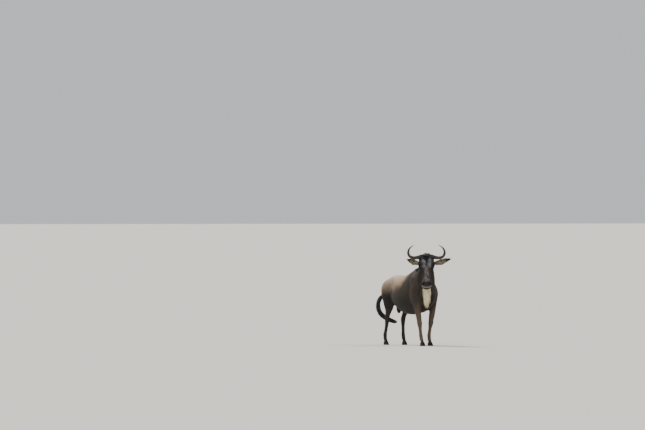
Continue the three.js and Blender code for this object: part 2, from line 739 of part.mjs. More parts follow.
// Trunk with the withers' mane: everything else that meets it is cut clear of it.
const withersLine = new THREE.Vector3(0, 6, 1240);
const withersWay = new THREE.Vector3(0, -1, 0.4).normalize();
const besideWithers = (sign) => halfSpace(
  withersLine.clone().addScaledVector(withersWay, (sign * GAP) / 2),
  withersWay.clone().multiplyScalar(sign));
const grownTorso = trunkLoft(GAP);
const grownNeck = neckLoft(GAP);
const grownLegs = joined(Object.keys(LEGS).map((name) => legLoft(name, GAP)));
const beard = beardLocks();
const withersMane = hairSolid(maneOnWithers()).intersect(besideWithers(-1))
  .subtract(joined([grownNeck, grownLegs]));
const brisketHair = hairSolid(brisketLocks()).subtract(joined([grownNeck, hairSolid(beard, GAP)]));
add("torso", joined([trunkLoft(0), withersMane, brisketHair]), "hide");
const groin = ellipsoid(new THREE.Vector3(0, 700, 590), [LEFT, FRONT, UP], [38, 46, 96], 12);
add("scrotum", groin.subtract(grownTorso), "hide");

// Legs with dewclaws, and the hooves cut out of them.
for (const [name, leg] of Object.entries(LEGS)) {
  const [, out, back] = leg.rows.find(([height]) => height <= 125);
  const dewclaws = [-1, 1].map((spread) => ellipsoid(
    new THREE.Vector3(leg.side * out + spread * 13, back + 27, 112),
    [LEFT, FRONT, UP], [9, 9, 18], 6));
  const aboveHooves = halfSpace(new THREE.Vector3(0, 0, HOOF_HEIGHT + GAP), UP);
  add(name, joined([legLoft(name, 0), ...dewclaws]).subtract(grownTorso).intersect(aboveHooves), "hide");
  for (const [spread, label] of [[-1, "right"], [1, "left"]]) {
    add(`hoof_${name.replace("leg", "")}_${label}_claw`, claw(leg, spread), "hoof");
  }
}

// Tail, parted across its line into three lengths.
const tailWhole = joined([loft(tubeSection(tailCurve, tailCore), 20, 8), hairSolid(tailLocks())])
  .subtract(joined([grownTorso, grownLegs]));
const cutTail = (solid, t, keepBefore) => {
  const along = tailCurve.getTangentAt(t);
  const point = tailCurve.getPointAt(t).addScaledVector(along, keepBefore ? -GAP / 2 : GAP / 2);
  return solid.intersect(halfSpace(point, along.multiplyScalar(keepBefore ? -1 : 1)));
};
add("tail_dock", cutTail(tailWhole, TAIL_CUTS[0], true), "hide");
add("tail_switch_upper", cutTail(cutTail(tailWhole, TAIL_CUTS[0], false), TAIL_CUTS[1], true), "mane");
add("tail_switch_lower", cutTail(tailWhole, TAIL_CUTS[1], false), "mane");

// Neck with mane and beard, clear of all that it meets.
const { raised, cut } = faceForms();
const grownHead = joined([headLoft(GAP), ...raised]);
const grownHorns = joined([hornLoft(1, GAP), hornLoft(-1, GAP)]);
const mane = maneOnNeck();
const neckMane = hairSolid(mane).intersect(besideWithers(1));
add("neck", joined([neckLoft(0), neckMane, hairSolid(beard)])
  .subtract(joined([grownTorso, grownHead, grownLegs, grownHorns])), "hide");

// Head with its face forms, opened for the eyes, and its hair clear of the neck's.
const neckHair = joined([hairSolid(mane.slice(0, 4), GAP), hairSolid(beard, GAP)]);
const headHair = hairSolid([...forelockLocks(), ...chinLocks()]).subtract(neckHair);
add("head", joined([headLoft(0), ...raised, headHair])
  .subtract(joined([grownHorns, grownNeck, ...cut])), "face");
for (const [name, side] of Object.entries({ left: 1, right: -1 })) {
  add(`horn_${name}`, hornLoft(side, 0), "horn");
  const earClear = joined([grownHead, hornLoft(side, GAP)]);
  add(`ear_${name}`, ear(EARS[name], 0).subtract(earClear), "hide");
  add(`eye_${name}`, eyeBall(side, 0), "eye");
}

// The whole is moved so that its footprint's centre is the origin.
const box = new THREE.Box3().setFromObject(animal);
const middle = box.getCenter(new THREE.Vector3());
animal.position.set(-middle.x, -middle.y, 0);

export default animal;
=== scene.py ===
"""The looks of a white-bearded wildebeest, a still, life-size model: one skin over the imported
frame, a short brindled coat, mane, beard, forelock and tail hair, eyes, horns and hooves."""

import math
from typing import NamedTuple

import bpy
import numpy as np
from bpy.props import FloatProperty, FloatVectorProperty, IntProperty, PointerProperty
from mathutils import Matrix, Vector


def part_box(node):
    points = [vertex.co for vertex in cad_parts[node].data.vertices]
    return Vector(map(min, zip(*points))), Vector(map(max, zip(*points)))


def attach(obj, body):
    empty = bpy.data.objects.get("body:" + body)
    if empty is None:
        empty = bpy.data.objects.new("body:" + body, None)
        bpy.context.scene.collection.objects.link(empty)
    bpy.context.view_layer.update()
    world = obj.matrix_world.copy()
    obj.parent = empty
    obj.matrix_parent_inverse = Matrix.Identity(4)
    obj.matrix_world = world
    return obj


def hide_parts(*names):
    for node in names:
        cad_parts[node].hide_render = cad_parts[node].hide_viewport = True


bl_info = {
    "name": "Wildebeest model",
    "version": (1, 0, 0),
    "blender": (4, 5, 0),
    "location": "View3D > Sidebar > Wildebeest",
    "description": "Builds the skin, coat, hair, eyes, horns and hooves of a life-size wildebeest",
    "category": "Mesh",
}

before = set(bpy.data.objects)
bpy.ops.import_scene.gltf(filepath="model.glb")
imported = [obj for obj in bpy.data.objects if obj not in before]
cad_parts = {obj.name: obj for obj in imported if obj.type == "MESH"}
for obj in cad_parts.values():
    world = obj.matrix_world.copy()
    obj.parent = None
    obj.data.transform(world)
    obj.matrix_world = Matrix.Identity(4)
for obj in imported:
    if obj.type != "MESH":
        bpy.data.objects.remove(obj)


def srgb(text):
    """An sRGB hex colour as a linear colour."""
    parts = np.array([int(text[i:i + 2], 16) for i in (1, 3, 5)]) / 255
    return tuple(np.where(parts <= 0.04045, parts / 12.92, ((parts + 0.055) / 1.055) ** 2.4))


# Metres from here on. The animal faces -Y and its left side is +X. The head's place and
# attitude: the poll's centre, the turn to the animal's right, and the face's slope.
POLL = np.array((-0.091, -0.294, 1.412))
HEAD_TURN = math.radians(30)
FACE_PITCH = math.radians(62)
UP = np.array((0.0, 0.0, 1.0))
LEFT = np.array((1.0, 0.0, 0.0))
FRONT = np.array((0.0, -1.0, 0.0))
FACING = np.array((-math.sin(HEAD_TURN), -math.cos(HEAD_TURN), 0.0))
HEAD_LEFT = np.cross(UP, FACING)
HEAD_AXIS = FACING * math.cos(FACE_PITCH) - UP * math.sin(FACE_PITCH)
HEAD_TOP = FACING * math.sin(FACE_PITCH) + UP * math.cos(FACE_PITCH)
SIDES = {"left": 1, "right": -1}

# Trunk: distance back from the shoulder line, back line, widest level, belly line, half width,
# sideways shift, and how square the upper and lower halves are (2 is round).
TRUNK = np.array((
    (-0.292, 0.872, 0.822, 0.768, 0.052, -0.024, 2.0, 2.0),
    (-0.268, 0.968, 0.832, 0.684, 0.112, -0.022, 2.0, 2.0),
    (-0.205, 1.090, 0.842, 0.604, 0.160, -0.016, 2.0, 2.0),
    (-0.110, 1.174, 0.848, 0.550, 0.188, -0.008, 1.9, 2.1),
    (0.000, 1.214, 0.850, 0.520, 0.197, 0.0, 1.75, 2.2),
    (0.060, 1.222, 0.844, 0.510, 0.202, 0.0, 1.7, 2.2),
    (0.150, 1.202, 0.828, 0.498, 0.210, 0.0, 1.8, 2.2),
    (0.260, 1.154, 0.812, 0.486, 0.218, 0.0, 1.95, 2.2),
    (0.380, 1.116, 0.806, 0.490, 0.222, 0.0, 2.1, 2.2),
    (0.520, 1.102, 0.812, 0.532, 0.216, 0.0, 2.15, 2.1),
    (0.650, 1.106, 0.838, 0.602, 0.200, 0.0, 2.1, 2.0),
    (0.760, 1.104, 0.864, 0.676, 0.186, 0.0, 2.0, 2.0),
    (0.860, 1.072, 0.876, 0.738, 0.168, 0.0, 2.0, 2.0),
    (0.940, 1.016, 0.878, 0.792, 0.138, 0.0, 2.0, 2.0),
    (0.992, 0.952, 0.876, 0.824, 0.096, 0.0, 2.0, 2.0),
    (1.016, 0.906, 0.876, 0.846, 0.042, 0.0, 2.0, 2.0),
))

# Neck: crest point and throat point (sideways, along, up), and half width.
NECK = np.array((
    (0.000, 0.090, 1.150, 0.000, -0.030, 0.660, 0.120),
    (-0.003, 0.000, 1.226, -0.014, -0.190, 0.735, 0.158),
    (-0.020, -0.095, 1.286, -0.030, -0.262, 0.850, 0.142),
    (-0.044, -0.172, 1.350, -0.042, -0.272, 0.985, 0.118),
    (-0.072, -0.248, 1.410, -0.054, -0.256, 1.110, 0.100),
    (-0.096, -0.318, 1.440, -0.066, -0.246, 1.222, 0.088),
    (-0.112, -0.352, 1.420, -0.080, -0.272, 1.268, 0.060),
))

# Head: distance from the poll, face line, widest level, jaw line, half width, and how square
# the upper and lower halves are.
HEAD = np.array((
    (-0.014, 0.020, -0.012, -0.046, 0.046, 2.0, 2.0),
    (0.006, 0.062, -0.006, -0.080, 0.090, 2.0, 2.0),
    (0.042, 0.089, 0.002, -0.110, 0.112, 2.3, 2.0),
    (0.085, 0.097, 0.010, -0.128, 0.121, 2.3, 1.8),
    (0.130, 0.098, 0.020, -0.135, 0.127, 2.3, 1.7),
    (0.168, 0.096, 0.028, -0.130, 0.130, 2.3, 1.7),
    (0.204, 0.092, 0.026, -0.119, 0.123, 2.3, 1.8),
    (0.248, 0.087, 0.014, -0.104, 0.101, 2.3, 2.0),
    (0.305, 0.082, 0.005, -0.089, 0.080, 2.2, 2.3),
    (0.365, 0.077, 0.000, -0.078, 0.072, 2.2, 2.4),
    (0.412, 0.074, -0.002, -0.073, 0.071, 2.3, 2.5),
    (0.456, 0.073, -0.004, -0.073, 0.075, 2.5, 2.6),
    (0.498, 0.071, -0.004, -0.073, 0.080, 2.7, 2.8),
    (0.530, 0.063, -0.006, -0.071, 0.077, 2.7, 2.8),
    (0.554, 0.046, -0.008, -0.064, 0.064, 2.5, 2.6),
    (0.567, 0.022, -0.012, -0.050, 0.044, 2.3, 2.3),
))

# Legs: height and half width; then distance out from the middle, distance back and half depth of
# the right leg, and the same of the left one.
FORELEGS = np.array((
    (1.128, 0.030, 0.092, 0.030, 0.046, 0.092, 0.034, 0.046),
    (1.070, 0.048, 0.112, 0.012, 0.092, 0.112, 0.018, 0.092),
    (0.980, 0.060, 0.130, -0.028, 0.128, 0.130, -0.018, 0.128),
    (0.880, 0.066, 0.144, -0.078, 0.146, 0.144, -0.062, 0.146),
    (0.785, 0.064, 0.150, -0.100, 0.124, 0.150, -0.082, 0.124),
    (0.700, 0.058, 0.150, -0.098, 0.098, 0.150, -0.078, 0.098),
    (0.620, 0.053, 0.149, -0.112, 0.076, 0.146, -0.082, 0.076),
    (0.540, 0.046, 0.147, -0.126, 0.056, 0.141, -0.086, 0.056),
    (0.460, 0.044, 0.140, -0.139, 0.050, 0.133, -0.081, 0.050),
    (0.398, 0.040, 0.134, -0.149, 0.043, 0.126, -0.075, 0.043),
    (0.362, 0.041, 0.131, -0.154, 0.043, 0.122, -0.074, 0.043),
    (0.322, 0.036, 0.128, -0.155, 0.038, 0.119, -0.069, 0.038),
    (0.278, 0.029, 0.124, -0.158, 0.032, 0.115, -0.062, 0.032),
    (0.210, 0.027, 0.119, -0.163, 0.030, 0.109, -0.054, 0.030),
    (0.158, 0.030, 0.115, -0.168, 0.036, 0.104, -0.050, 0.036),
    (0.120, 0.028, 0.113, -0.180, 0.032, 0.102, -0.062, 0.032),
    (0.088, 0.028, 0.111, -0.192, 0.031, 0.101, -0.074, 0.031),
    (0.052, 0.030, 0.110, -0.204, 0.038, 0.100, -0.086, 0.038),
))
HIND_LEGS = np.array((
    (1.052, 0.030, 0.084, 0.800, 0.060, 0.084, 0.790, 0.060),
    (1.000, 0.056, 0.112, 0.798, 0.132, 0.112, 0.786, 0.132),
    (0.920, 0.070, 0.132, 0.798, 0.180, 0.132, 0.780, 0.180),
    (0.830, 0.076, 0.144, 0.784, 0.182, 0.144, 0.756, 0.184),
    (0.740, 0.072, 0.148, 0.764, 0.162, 0.148, 0.726, 0.165),
    (0.655, 0.062, 0.149, 0.752, 0.130, 0.149, 0.706, 0.131),
    (0.580, 0.053, 0.146, 0.762, 0.092, 0.146, 0.706, 0.092),
    (0.515, 0.042, 0.138, 0.796, 0.062, 0.138, 0.734, 0.062),
    (0.462, 0.035, 0.131, 0.828, 0.048, 0.131, 0.764, 0.048),
    (0.424, 0.035, 0.128, 0.846, 0.048, 0.128, 0.780, 0.048),
    (0.388, 0.035, 0.126, 0.852, 0.044, 0.126, 0.784, 0.044),
    (0.345, 0.031, 0.125, 0.862, 0.036, 0.125, 0.784, 0.036),
    (0.290, 0.028, 0.123, 0.880, 0.031, 0.123, 0.780, 0.031),
    (0.215, 0.027, 0.121, 0.908, 0.030, 0.121, 0.774, 0.030),
    (0.160, 0.030, 0.120, 0.928, 0.035, 0.120, 0.770, 0.035),
    (0.120, 0.028, 0.120, 0.922, 0.032, 0.120, 0.760, 0.032),
    (0.088, 0.028, 0.120, 0.912, 0.031, 0.120, 0.748, 0.031),
    (0.052, 0.030, 0.120, 0.902, 0.038, 0.120, 0.736, 0.038),
))
LEGS = {
    "foreleg_right": (-1, FORELEGS[:, (0, 2, 3, 1, 4)].copy()),
    "foreleg_left": (1, FORELEGS[:, (0, 5, 6, 1, 7)].copy()),
    "hindleg_right": (-1, HIND_LEGS[:, (0, 2, 3, 1, 4)].copy()),
    "hindleg_left": (1, HIND_LEGS[:, (0, 5, 6, 1, 7)].copy()),
}

# Hooves: height, reach of toe and heel from the leg's line, half width of a claw and its place.
HOOF_HEIGHT = 0.064
HOOF_TOE = 0.066
HOOF_HEEL = 0.034
CLAW_HALF = 0.017
CLAW_SPREAD = 0.0185

# Horn centreline (out from the middle, ahead of the poll, height) and radius.
HORN = np.array((
    (0.034, 0.058, 1.402, 0.034), (0.070, 0.062, 1.402, 0.036), (0.114, 0.068, 1.394, 0.030),
    (0.168, 0.077, 1.386, 0.025), (0.222, 0.084, 1.389, 0.0235), (0.266, 0.086, 1.414, 0.022),
    (0.284, 0.078, 1.459, 0.0195), (0.276, 0.062, 1.508, 0.016), (0.248, 0.044, 1.546, 0.0115),
    (0.212, 0.030, 1.570, 0.007), (0.186, 0.022, 1.583, 0.0022),
))
HORN_FLATTEN = 0.9

# Ears: root and tip (out, ahead, height), and the way the cup faces.
EARS = {
    "left": ((0.110, 0.046, 1.294), (0.390, 0.014, 1.367), (0.3, 0.93, -0.24)),
    "right": ((-0.106, 0.048, 1.291), (-0.312, -0.032, 1.357), (-0.35, 0.92, -0.1)),
}
EAR_WALL = 0.0032
EAR_REACH = 0.08

# Eyes: place on the head (from the poll, above the middle, out), look, radius and lid.
EYE = (0.188, 0.046, 0.108)
EYE_LOOK = (0.14, 0.62, 0.77)
EYE_RADIUS = 0.020
LID = 0.0045

# Tail centreline and its core's radius, from the rump to the last hair.
TAIL = np.array((
    (0.000, 0.950, 0.982), (-0.004, 1.014, 0.968), (-0.022, 1.064, 0.896), (-0.060, 1.088, 0.790),
    (-0.118, 1.094, 0.724), (-0.149, 1.092, 0.650), (-0.149, 1.090, 0.574), (-0.120, 1.084, 0.506),
    (-0.072, 1.076, 0.454), (0.012, 1.052, 0.403), (0.092, 1.032, 0.368), (0.165, 1.015, 0.352),
))
LOBE_CENTRE = np.array((0.0, 0.700, 0.590))
LOBE_RADII = np.array((0.038, 0.046, 0.096))


class Section(NamedTuple):
    """A superellipse across a form: its centre, two ways, reaches and how square its halves are."""
    centre: np.ndarray
    across: np.ndarray
    up: np.ndarray
    half: np.ndarray
    above: np.ndarray
    below: np.ndarray
    power_up: np.ndarray
    power_down: np.ndarray


def curve_through(rows, at):
    """Columns of rows read at places 0 to 1: cubic pieces through every value, whose slope at a
    row is the harmonic mean of the steps on both sides, or flat where the steps turn."""
    rows = np.asarray(rows, float)
    steps = np.diff(rows, axis=0)
    a, b = steps[:-1], steps[1:]
    total = np.where(a + b == 0, 1, a + b)
    slopes = np.concatenate((steps[:1], np.where(a * b > 0, 2 * a * b / total, 0), steps[-1:]))
    x = np.clip(np.asarray(at, float), 0, 1) * (len(rows) - 1)
    i = np.minimum(x.astype(int), len(rows) - 2)
    t = (x - i)[..., None]
    return (rows[i] * (2 * t**3 - 3 * t**2 + 1) + rows[i + 1] * (3 * t**2 - 2 * t**3)
            + slopes[i] * (t**3 - 2 * t**2 + t) + slopes[i + 1] * (t**3 - t**2))


def profile(places, values, at):
    """A smooth curve through values given at uneven places: straight pieces, eased by a cosine."""
    i = np.clip(np.searchsorted(places, at, side="right") - 1, 0, len(places) - 2)
    places, values = np.asarray(places, float), np.asarray(values, float)
    t = np.clip((at - places[i]) / (places[i + 1] - places[i]), 0, 1)
    return values[i] + (values[i + 1] - values[i]) * (0.5 - 0.5 * np.cos(math.pi * t))


def unit(vectors):
    """Vectors scaled to length one."""
    return vectors / np.maximum(np.linalg.norm(vectors, axis=-1, keepdims=True), 1e-9)


def step_between(low, high, x):
    """0 below low, 1 above high, and a smooth cubic between."""
    t = np.clip((np.asarray(x) - low) / (high - low), 0, 1)
    return t * t * (3 - 2 * t)


def hump(x, centre, width):
    """A bell curve: 1 at the centre and falling with the square of the distance over the width."""
    return np.exp(-((x - centre) / width) ** 2)


def section_point(section, angle, grow=0.0):
    """A point round a section: sine of the angle across and cosine up, each raised to 2 over the
    half's power, times the section's reach plus grow."""
    s, c = np.sin(angle), np.cos(angle)
    power = 2 / np.where(c >= 0, section.power_up, section.power_down)
    out = np.sign(s) * np.abs(s) ** power * (section.half + grow)
    rise = np.sign(c) * np.abs(c) ** power * (np.where(c >= 0, section.above, section.below) + grow)
    return section.centre + out[..., None] * section.across + rise[..., None] * section.up


def trunk_section(t):
    back, top, level, belly, half, shift, power_up, power_down = np.moveaxis(
        curve_through(TRUNK, t), -1, 0)
    centre = np.stack((shift, back, level), axis=-1)
    return Section(centre, LEFT, UP, half, top - level, level - belly, power_up, power_down)


def neck_section(t):
    rows = curve_through(NECK, t)
    crest, throat, half = rows[..., :3], rows[..., 3:6], rows[..., 6]
    up = crest - throat
    rise = np.linalg.norm(up, axis=-1) / 2
    up = unit(up)
    turn = HEAD_TURN * np.asarray(t, float)
    across = np.stack((np.cos(turn), -np.sin(turn), 0 * turn), axis=-1)
    across = unit(across - np.sum(across * up, axis=-1, keepdims=True) * up)
    return Section((crest + throat) / 2, across, up, half, rise, rise, 1.8 + 0 * half, 2.1 + 0 * half)


def head_point(along, above, out):
    """A place given along the face from the poll, above the head's middle, and out to its left."""
    along, above, out = (np.asarray(v, float)[..., None] for v in (along, above, out))
    return POLL + along * HEAD_AXIS + above * HEAD_TOP + out * HEAD_LEFT


def head_section(t):
    along, top, level, jaw, half, power_up, power_down = np.moveaxis(curve_through(HEAD, t), -1, 0)
    centre = head_point(along, level, 0 * along)
    return Section(centre, HEAD_LEFT, HEAD_TOP, half, top - level, level - jaw, power_up, power_down)


def beside_head(out, ahead, height):
    """A place given out from the head's middle, ahead of the poll, and its height."""
    flat = POLL * (1, 1, 0) + np.asarray(out)[..., None] * HEAD_LEFT + np.asarray(ahead)[..., None] * FACING
    return flat + np.asarray(height)[..., None] * UP


def leg_section_of(side, rows):
    """The section function of one leg."""
    def leg_section(t):
        height, out, back, half, depth = np.moveaxis(curve_through(rows, t), -1, 0)
        centre = np.stack((side * out, back, height), axis=-1)
        square = 2.1 + 0 * half
        return Section(centre, LEFT, FRONT, half, depth, depth, square, square)
    return leg_section


def smooth_path(points, at):
    """Points along a centripetal Catmull-Rom curve, at shares of its length."""
    points = np.asarray(points, float)
    padded = np.concatenate((2 * points[:1] - points[1:2], points, 2 * points[-1:] - points[-2:-1]))
    knots = np.concatenate(([0], np.cumsum(np.linalg.norm(np.diff(padded, axis=0), axis=1) ** 0.5)))
    x = np.linspace(knots[1], knots[-2], 600)
    i = np.clip(np.searchsorted(knots, x, side="right") - 1, 1, len(points) - 1)
    k = [knots[i + j][:, None] for j in (-1, 0, 1, 2)]
    p = [padded[i + j] for j in (-1, 0, 1, 2)]
    x = x[:, None]
    a = [((k[j + 1] - x) * p[j] + (x - k[j]) * p[j + 1]) / (k[j + 1] - k[j]) for j in range(3)]
    b = [((k[j + 2] - x) * a[j] + (x - k[j]) * a[j + 1]) / (k[j + 2] - k[j]) for j in range(2)]
    fine = ((k[2] - x) * b[0] + (x - k[1]) * b[1]) / (k[2] - k[1])
    run = np.concatenate(([0], np.cumsum(np.linalg.norm(np.diff(fine, axis=0), axis=1))))
    at = np.clip(np.asarray(at, float), 0, 1) * run[-1]
    return np.stack([np.interp(at, run, fine[:, c]) for c in range(3)], axis=-1)


def tube_section_of(points, radius_at, flatten=1.0):
    """The section function of a round tube along a path: across is square to path and face."""
    def tube_section(t):
        t = np.clip(np.asarray(t, float), 0, 1)
        along = unit(smooth_path(points, t + 0.004) - smooth_path(points, t - 0.004))
        across = unit(np.cross(along, FACING))
        up = np.cross(across, along)
        radius = radius_at(t)
        square = 2.0 + 0 * radius
        return Section(smooth_path(points, t), across, up, radius, radius * flatten,
                       radius * flatten, square, square)
    return tube_section


def tail_radius(t):
    """The tail's fleshy core: thick at the dock, and thin within the hair."""
    return profile((0, 0.14, 0.3, 0.62, 0.8, 1), (0.030, 0.023, 0.014, 0.008, 0.004, 0.002), t)


tail_section = tube_section_of(TAIL, tail_radius)
PARTS = {
    "trunk": trunk_section, "neck": neck_section, "head": head_section, "tail": tail_section,
    **{name: leg_section_of(*leg) for name, leg in LEGS.items()},
}
PART_NAMES = list(PARTS)
COLUMN = {name: i for i, name in enumerate(PART_NAMES)}

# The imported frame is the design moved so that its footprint's centre is the origin; the left
# eye, which both have, gives the move.
EYE_PLACES = {side: head_point(EYE[0], EYE[1], sign * EYE[2]) for side, sign in SIDES.items()}
SHIFT = np.mean([np.array(corner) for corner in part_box("eye_left")], axis=0) - EYE_PLACES["left"]
SHIFT[2] = 0.0


def value_noise(points, size, seed):
    """Smooth noise, 0 to 1: random values at the corners of cells of that size, blended between."""
    cells = points / size
    base = np.floor(cells).astype(np.int64)
    t = cells - base
    t = t * t * (3 - 2 * t)
    total = np.zeros(len(points))
    for corner in np.ndindex(2, 2, 2):
        at = base + corner
        code = (at[:, 0] * 73856093) ^ (at[:, 1] * 19349663) ^ (at[:, 2] * 83492791) ^ (seed * 2654435)
        code = (code * 1103515245 + 12345) & 0x7FFFFFFF
        code = ((code >> 8) ^ code) * 69069 & 0xFFFFFF
        share = np.prod(np.where(np.array(corner) == 1, t, 1 - t), axis=1)
        total += share * (code / 0xFFFFFF)
    return total


def read_part(name, points):
    """Where points lie on one part: place along it, angle round it, gap outside its surface and
    the part's way along. From the nearest section's place, each point steps along to the section
    whose plane it lies in; what stays off the plane counts as gap too."""
    section_at = PARTS[name]
    t = np.linspace(0, 1, 60)
    centres = section_at(t).centre
    run = np.gradient(centres, t, axis=0)
    k = ((points[:, None, :] - centres[None]) ** 2).sum(-1).argmin(1)
    place = t[k]
    for _ in range(3):
        section = section_at(place)
        normal = np.cross(section.across, section.up)
        pace = np.sum(run[k] * normal, axis=1)
        pace = np.sign(pace) * np.maximum(np.abs(pace), 0.1)
        step = np.sum((points - section.centre) * normal, axis=1) / pace
        place = np.clip(place + np.clip(step, -0.1, 0.1), 0, 1)
    section = section_at(place)
    local = points - section.centre
    off = np.abs(np.sum(local * np.cross(section.across, section.up), axis=1))
    x = np.sum(local * section.across, axis=1)
    y = np.sum(local * section.up, axis=1)
    reach = np.where(y >= 0, section.above, section.below)
    power = np.where(y >= 0, section.power_up, section.power_down)
    ratio = ((np.abs(x) / section.half) ** power + (np.abs(y) / reach) ** power) ** (1 / power)
    gap = np.hypot(x, y) * (1 - 1 / np.maximum(ratio, 1e-3)) + off
    return place, np.arctan2(x / section.half, y / reach), gap, unit(run[k])


class Reading(NamedTuple):
    """Where points lie on the whole animal, part by part (columns in the order of PART_NAMES)."""
    points: np.ndarray
    place: np.ndarray
    angle: np.ndarray
    gap: np.ndarray
    share: np.ndarray
    flow: np.ndarray


BLEND_WIDTH = 0.022
DROOP = {"trunk": 0.32, "neck": 0.5, "head": 0.0, "tail": 0.2}


def read_animal(points):
    """Reads points on every part. A part's share falls off with its gap, and the lie of the coat
    is each part's way along, turned towards the ground by its droop, in those shares."""
    found = [read_part(name, points) for name in PART_NAMES]
    place, angle, gap = (np.stack([f[i] for f in found], axis=1) for i in range(3))
    share = np.exp(-(gap - gap.min(1, keepdims=True)) / BLEND_WIDTH)
    share /= share.sum(1, keepdims=True)
    flow = np.zeros_like(points)
    for i, name in enumerate(PART_NAMES):
        way = -found[i][3] if name == "neck" else found[i][3]
        flow += share[:, i, None] * unit(way - DROOP.get(name, 0.0) * UP)
    return Reading(points, place, angle, gap, share, unit(flow))


def part_share(reading, *names):
    """How far points belong to the named parts, 0 to 1."""
    return reading.share[:, [COLUMN[name] for name in names]].sum(1)


# Muscle and bone under the hide: place on the left side, spread each way, and how far the skin
# is pushed out (or in). All are mirrored.
BODY_FORMS = (
    ((0.150, 0.020, 1.020), (0.030, 0.030, 0.110), 0.007),
    ((0.175, -0.075, 0.900), (0.040, 0.060, 0.060), 0.006),
    ((0.140, -0.225, 0.850), (0.050, 0.040, 0.050), 0.008),
    ((0.200, 0.060, 0.860), (0.040, 0.035, 0.110), -0.007),
    ((0.200, -0.010, 0.760), (0.050, 0.050, 0.060), 0.006),
    ((0.200, 0.330, 0.780), (0.090, 0.200, 0.150), 0.005),
    ((0.190, 0.570, 0.880), (0.060, 0.055, 0.110), -0.011),
    ((0.135, 0.640, 1.060), (0.045, 0.040, 0.030), 0.010),
    ((0.080, 0.720, 1.095), (0.040, 0.080, 0.025), -0.003),
    ((0.170, 0.720, 0.900), (0.050, 0.060, 0.120), 0.005),
    ((0.120, 0.900, 0.880), (0.045, 0.020, 0.120), -0.005),
    ((0.055, 0.985, 0.900), (0.030, 0.030, 0.040), 0.006),
    ((0.030, 0.450, 1.100), (0.016, 0.350, 0.040), -0.003),
)
RIB_SPACING = 0.046
RIB_DEPTH = 0.0010

# The same on a leg, from its centre at a height: height, out, back; spread; push.
LEG_FORMS = {
    "fore": (
        ((0.690, 0.050, 0.070), (0.030, 0.035, 0.040), 0.006),
        ((0.560, 0.030, -0.020), (0.025, 0.020, 0.080), 0.003),
        ((0.500, 0.034, 0.018), (0.020, 0.012, 0.090), -0.004),
        ((0.368, 0.000, -0.034), (0.030, 0.020, 0.030), 0.003),
        ((0.352, 0.000, 0.036), (0.018, 0.014, 0.016), 0.004),
        ((0.245, 0.028, 0.010), (0.014, 0.006, 0.080), -0.002),
        ((0.245, -0.028, 0.010), (0.014, 0.006, 0.080), -0.002),
    ),
    "hind": (
        ((0.650, 0.050, 0.060), (0.030, 0.050, 0.060), 0.005),
        ((0.520, 0.040, 0.018), (0.024, 0.016, 0.070), -0.006),
        ((0.520, -0.040, 0.018), (0.024, 0.016, 0.070), -0.006),
        ((0.440, 0.000, 0.042), (0.016, 0.014, 0.026), 0.005),
        ((0.405, 0.028, -0.006), (0.014, 0.020, 0.020), 0.003),
        ((0.270, 0.028, 0.010), (0.014, 0.006, 0.090), -0.002),
        ((0.270, -0.028, 0.010), (0.014, 0.006, 0.090), -0.002),
    ),
}

# The same on the head: along the face, above the middle, out; spread; push.
HEAD_FORMS = (
    ((0.160, 0.074, 0.098), (0.034, 0.014, 0.022), 0.006),
    ((0.112, 0.046, 0.124), (0.024, 0.020, 0.030), -0.004),
    ((0.205, -0.062, 0.096), (0.050, 0.036, 0.040), 0.005),
    ((0.245, 0.018, 0.100), (0.052, 0.010, 0.030), 0.005),
    ((0.275, -0.014, 0.080), (0.050, 0.014, 0.030), -0.004),
    ((0.240, 0.048, 0.094), (0.014, 0.008, 0.020), 0.004),
    ((0.340, 0.078, 0.040), (0.130, 0.012, 0.010), 0.003),
    ((0.340, 0.082, 0.000), (0.120, 0.020, 0.016), -0.002),
    ((0.400, 0.010, 0.072), (0.060, 0.018, 0.030), -0.005),
    ((0.498, 0.040, 0.064), (0.026, 0.026, 0.034), 0.007),
    ((0.540, 0.020, 0.020), (0.020, 0.030, 0.024), -0.002),
    ((0.526, -0.006, 0.060), (0.036, 0.012, 0.040), 0.004),
    ((0.540, -0.054, 0.000), (0.026, 0.016, 0.034), 0.005),
    ((0.120, 0.100, 0.000), (0.060, 0.020, 0.040), 0.003),
)
NOSTRIL = (0.522, 0.050, 0.056)
NOSTRIL_LENGTH = 0.019
NOSTRIL_WIDTH = 0.0075
NOSTRIL_DEPTH = 0.020
MOUTH = (0.440, -0.038, 0.575, -0.008)
MOUTH_WIDTH = 0.0042
MOUTH_DEPTH = 0.008


def bump_at(points, centre, spread):
    """A bell in space: 1 at the centre, falling with the squares of the distances over the spreads."""
    return np.exp(-(((points - np.asarray(centre)) / np.asarray(spread)) ** 2).sum(-1))


def head_coordinates(points):
    """Along the face from the poll, above the head's middle, and out to its left."""
    local = points - POLL
    return np.stack((local @ HEAD_AXIS, local @ HEAD_TOP, local @ HEAD_LEFT), axis=-1)


def nostril_share(local):
    """1 inside a nostril: a slanted comma, long towards the middle line, in head coordinates."""
    along = local[:, 0] - NOSTRIL[0]
    out = np.abs(local[:, 2]) - NOSTRIL[2]
    long_way = 0.55 * along - 0.84 * out
    short_way = 0.84 * along + 0.55 * out + 9.0 * out * out
    above = local[:, 1] - NOSTRIL[1]
    return np.exp(-(long_way / NOSTRIL_LENGTH) ** 4 - (short_way / NOSTRIL_WIDTH) ** 2
                  - (above / 0.035) ** 4)


def mouth_line(local, width=MOUTH_WIDTH):
    """1 on the line of the mouth, which runs from its corner to below the nose's tip."""
    level = MOUTH[1] + (MOUTH[3] - MOUTH[1]) * (local[:, 0] - MOUTH[0]) / (MOUTH[2] - MOUTH[0])
    return hump(local[:, 1], level, width) * step_between(MOUTH[0] - 0.008, MOUTH[0] + 0.01, local[:, 0])


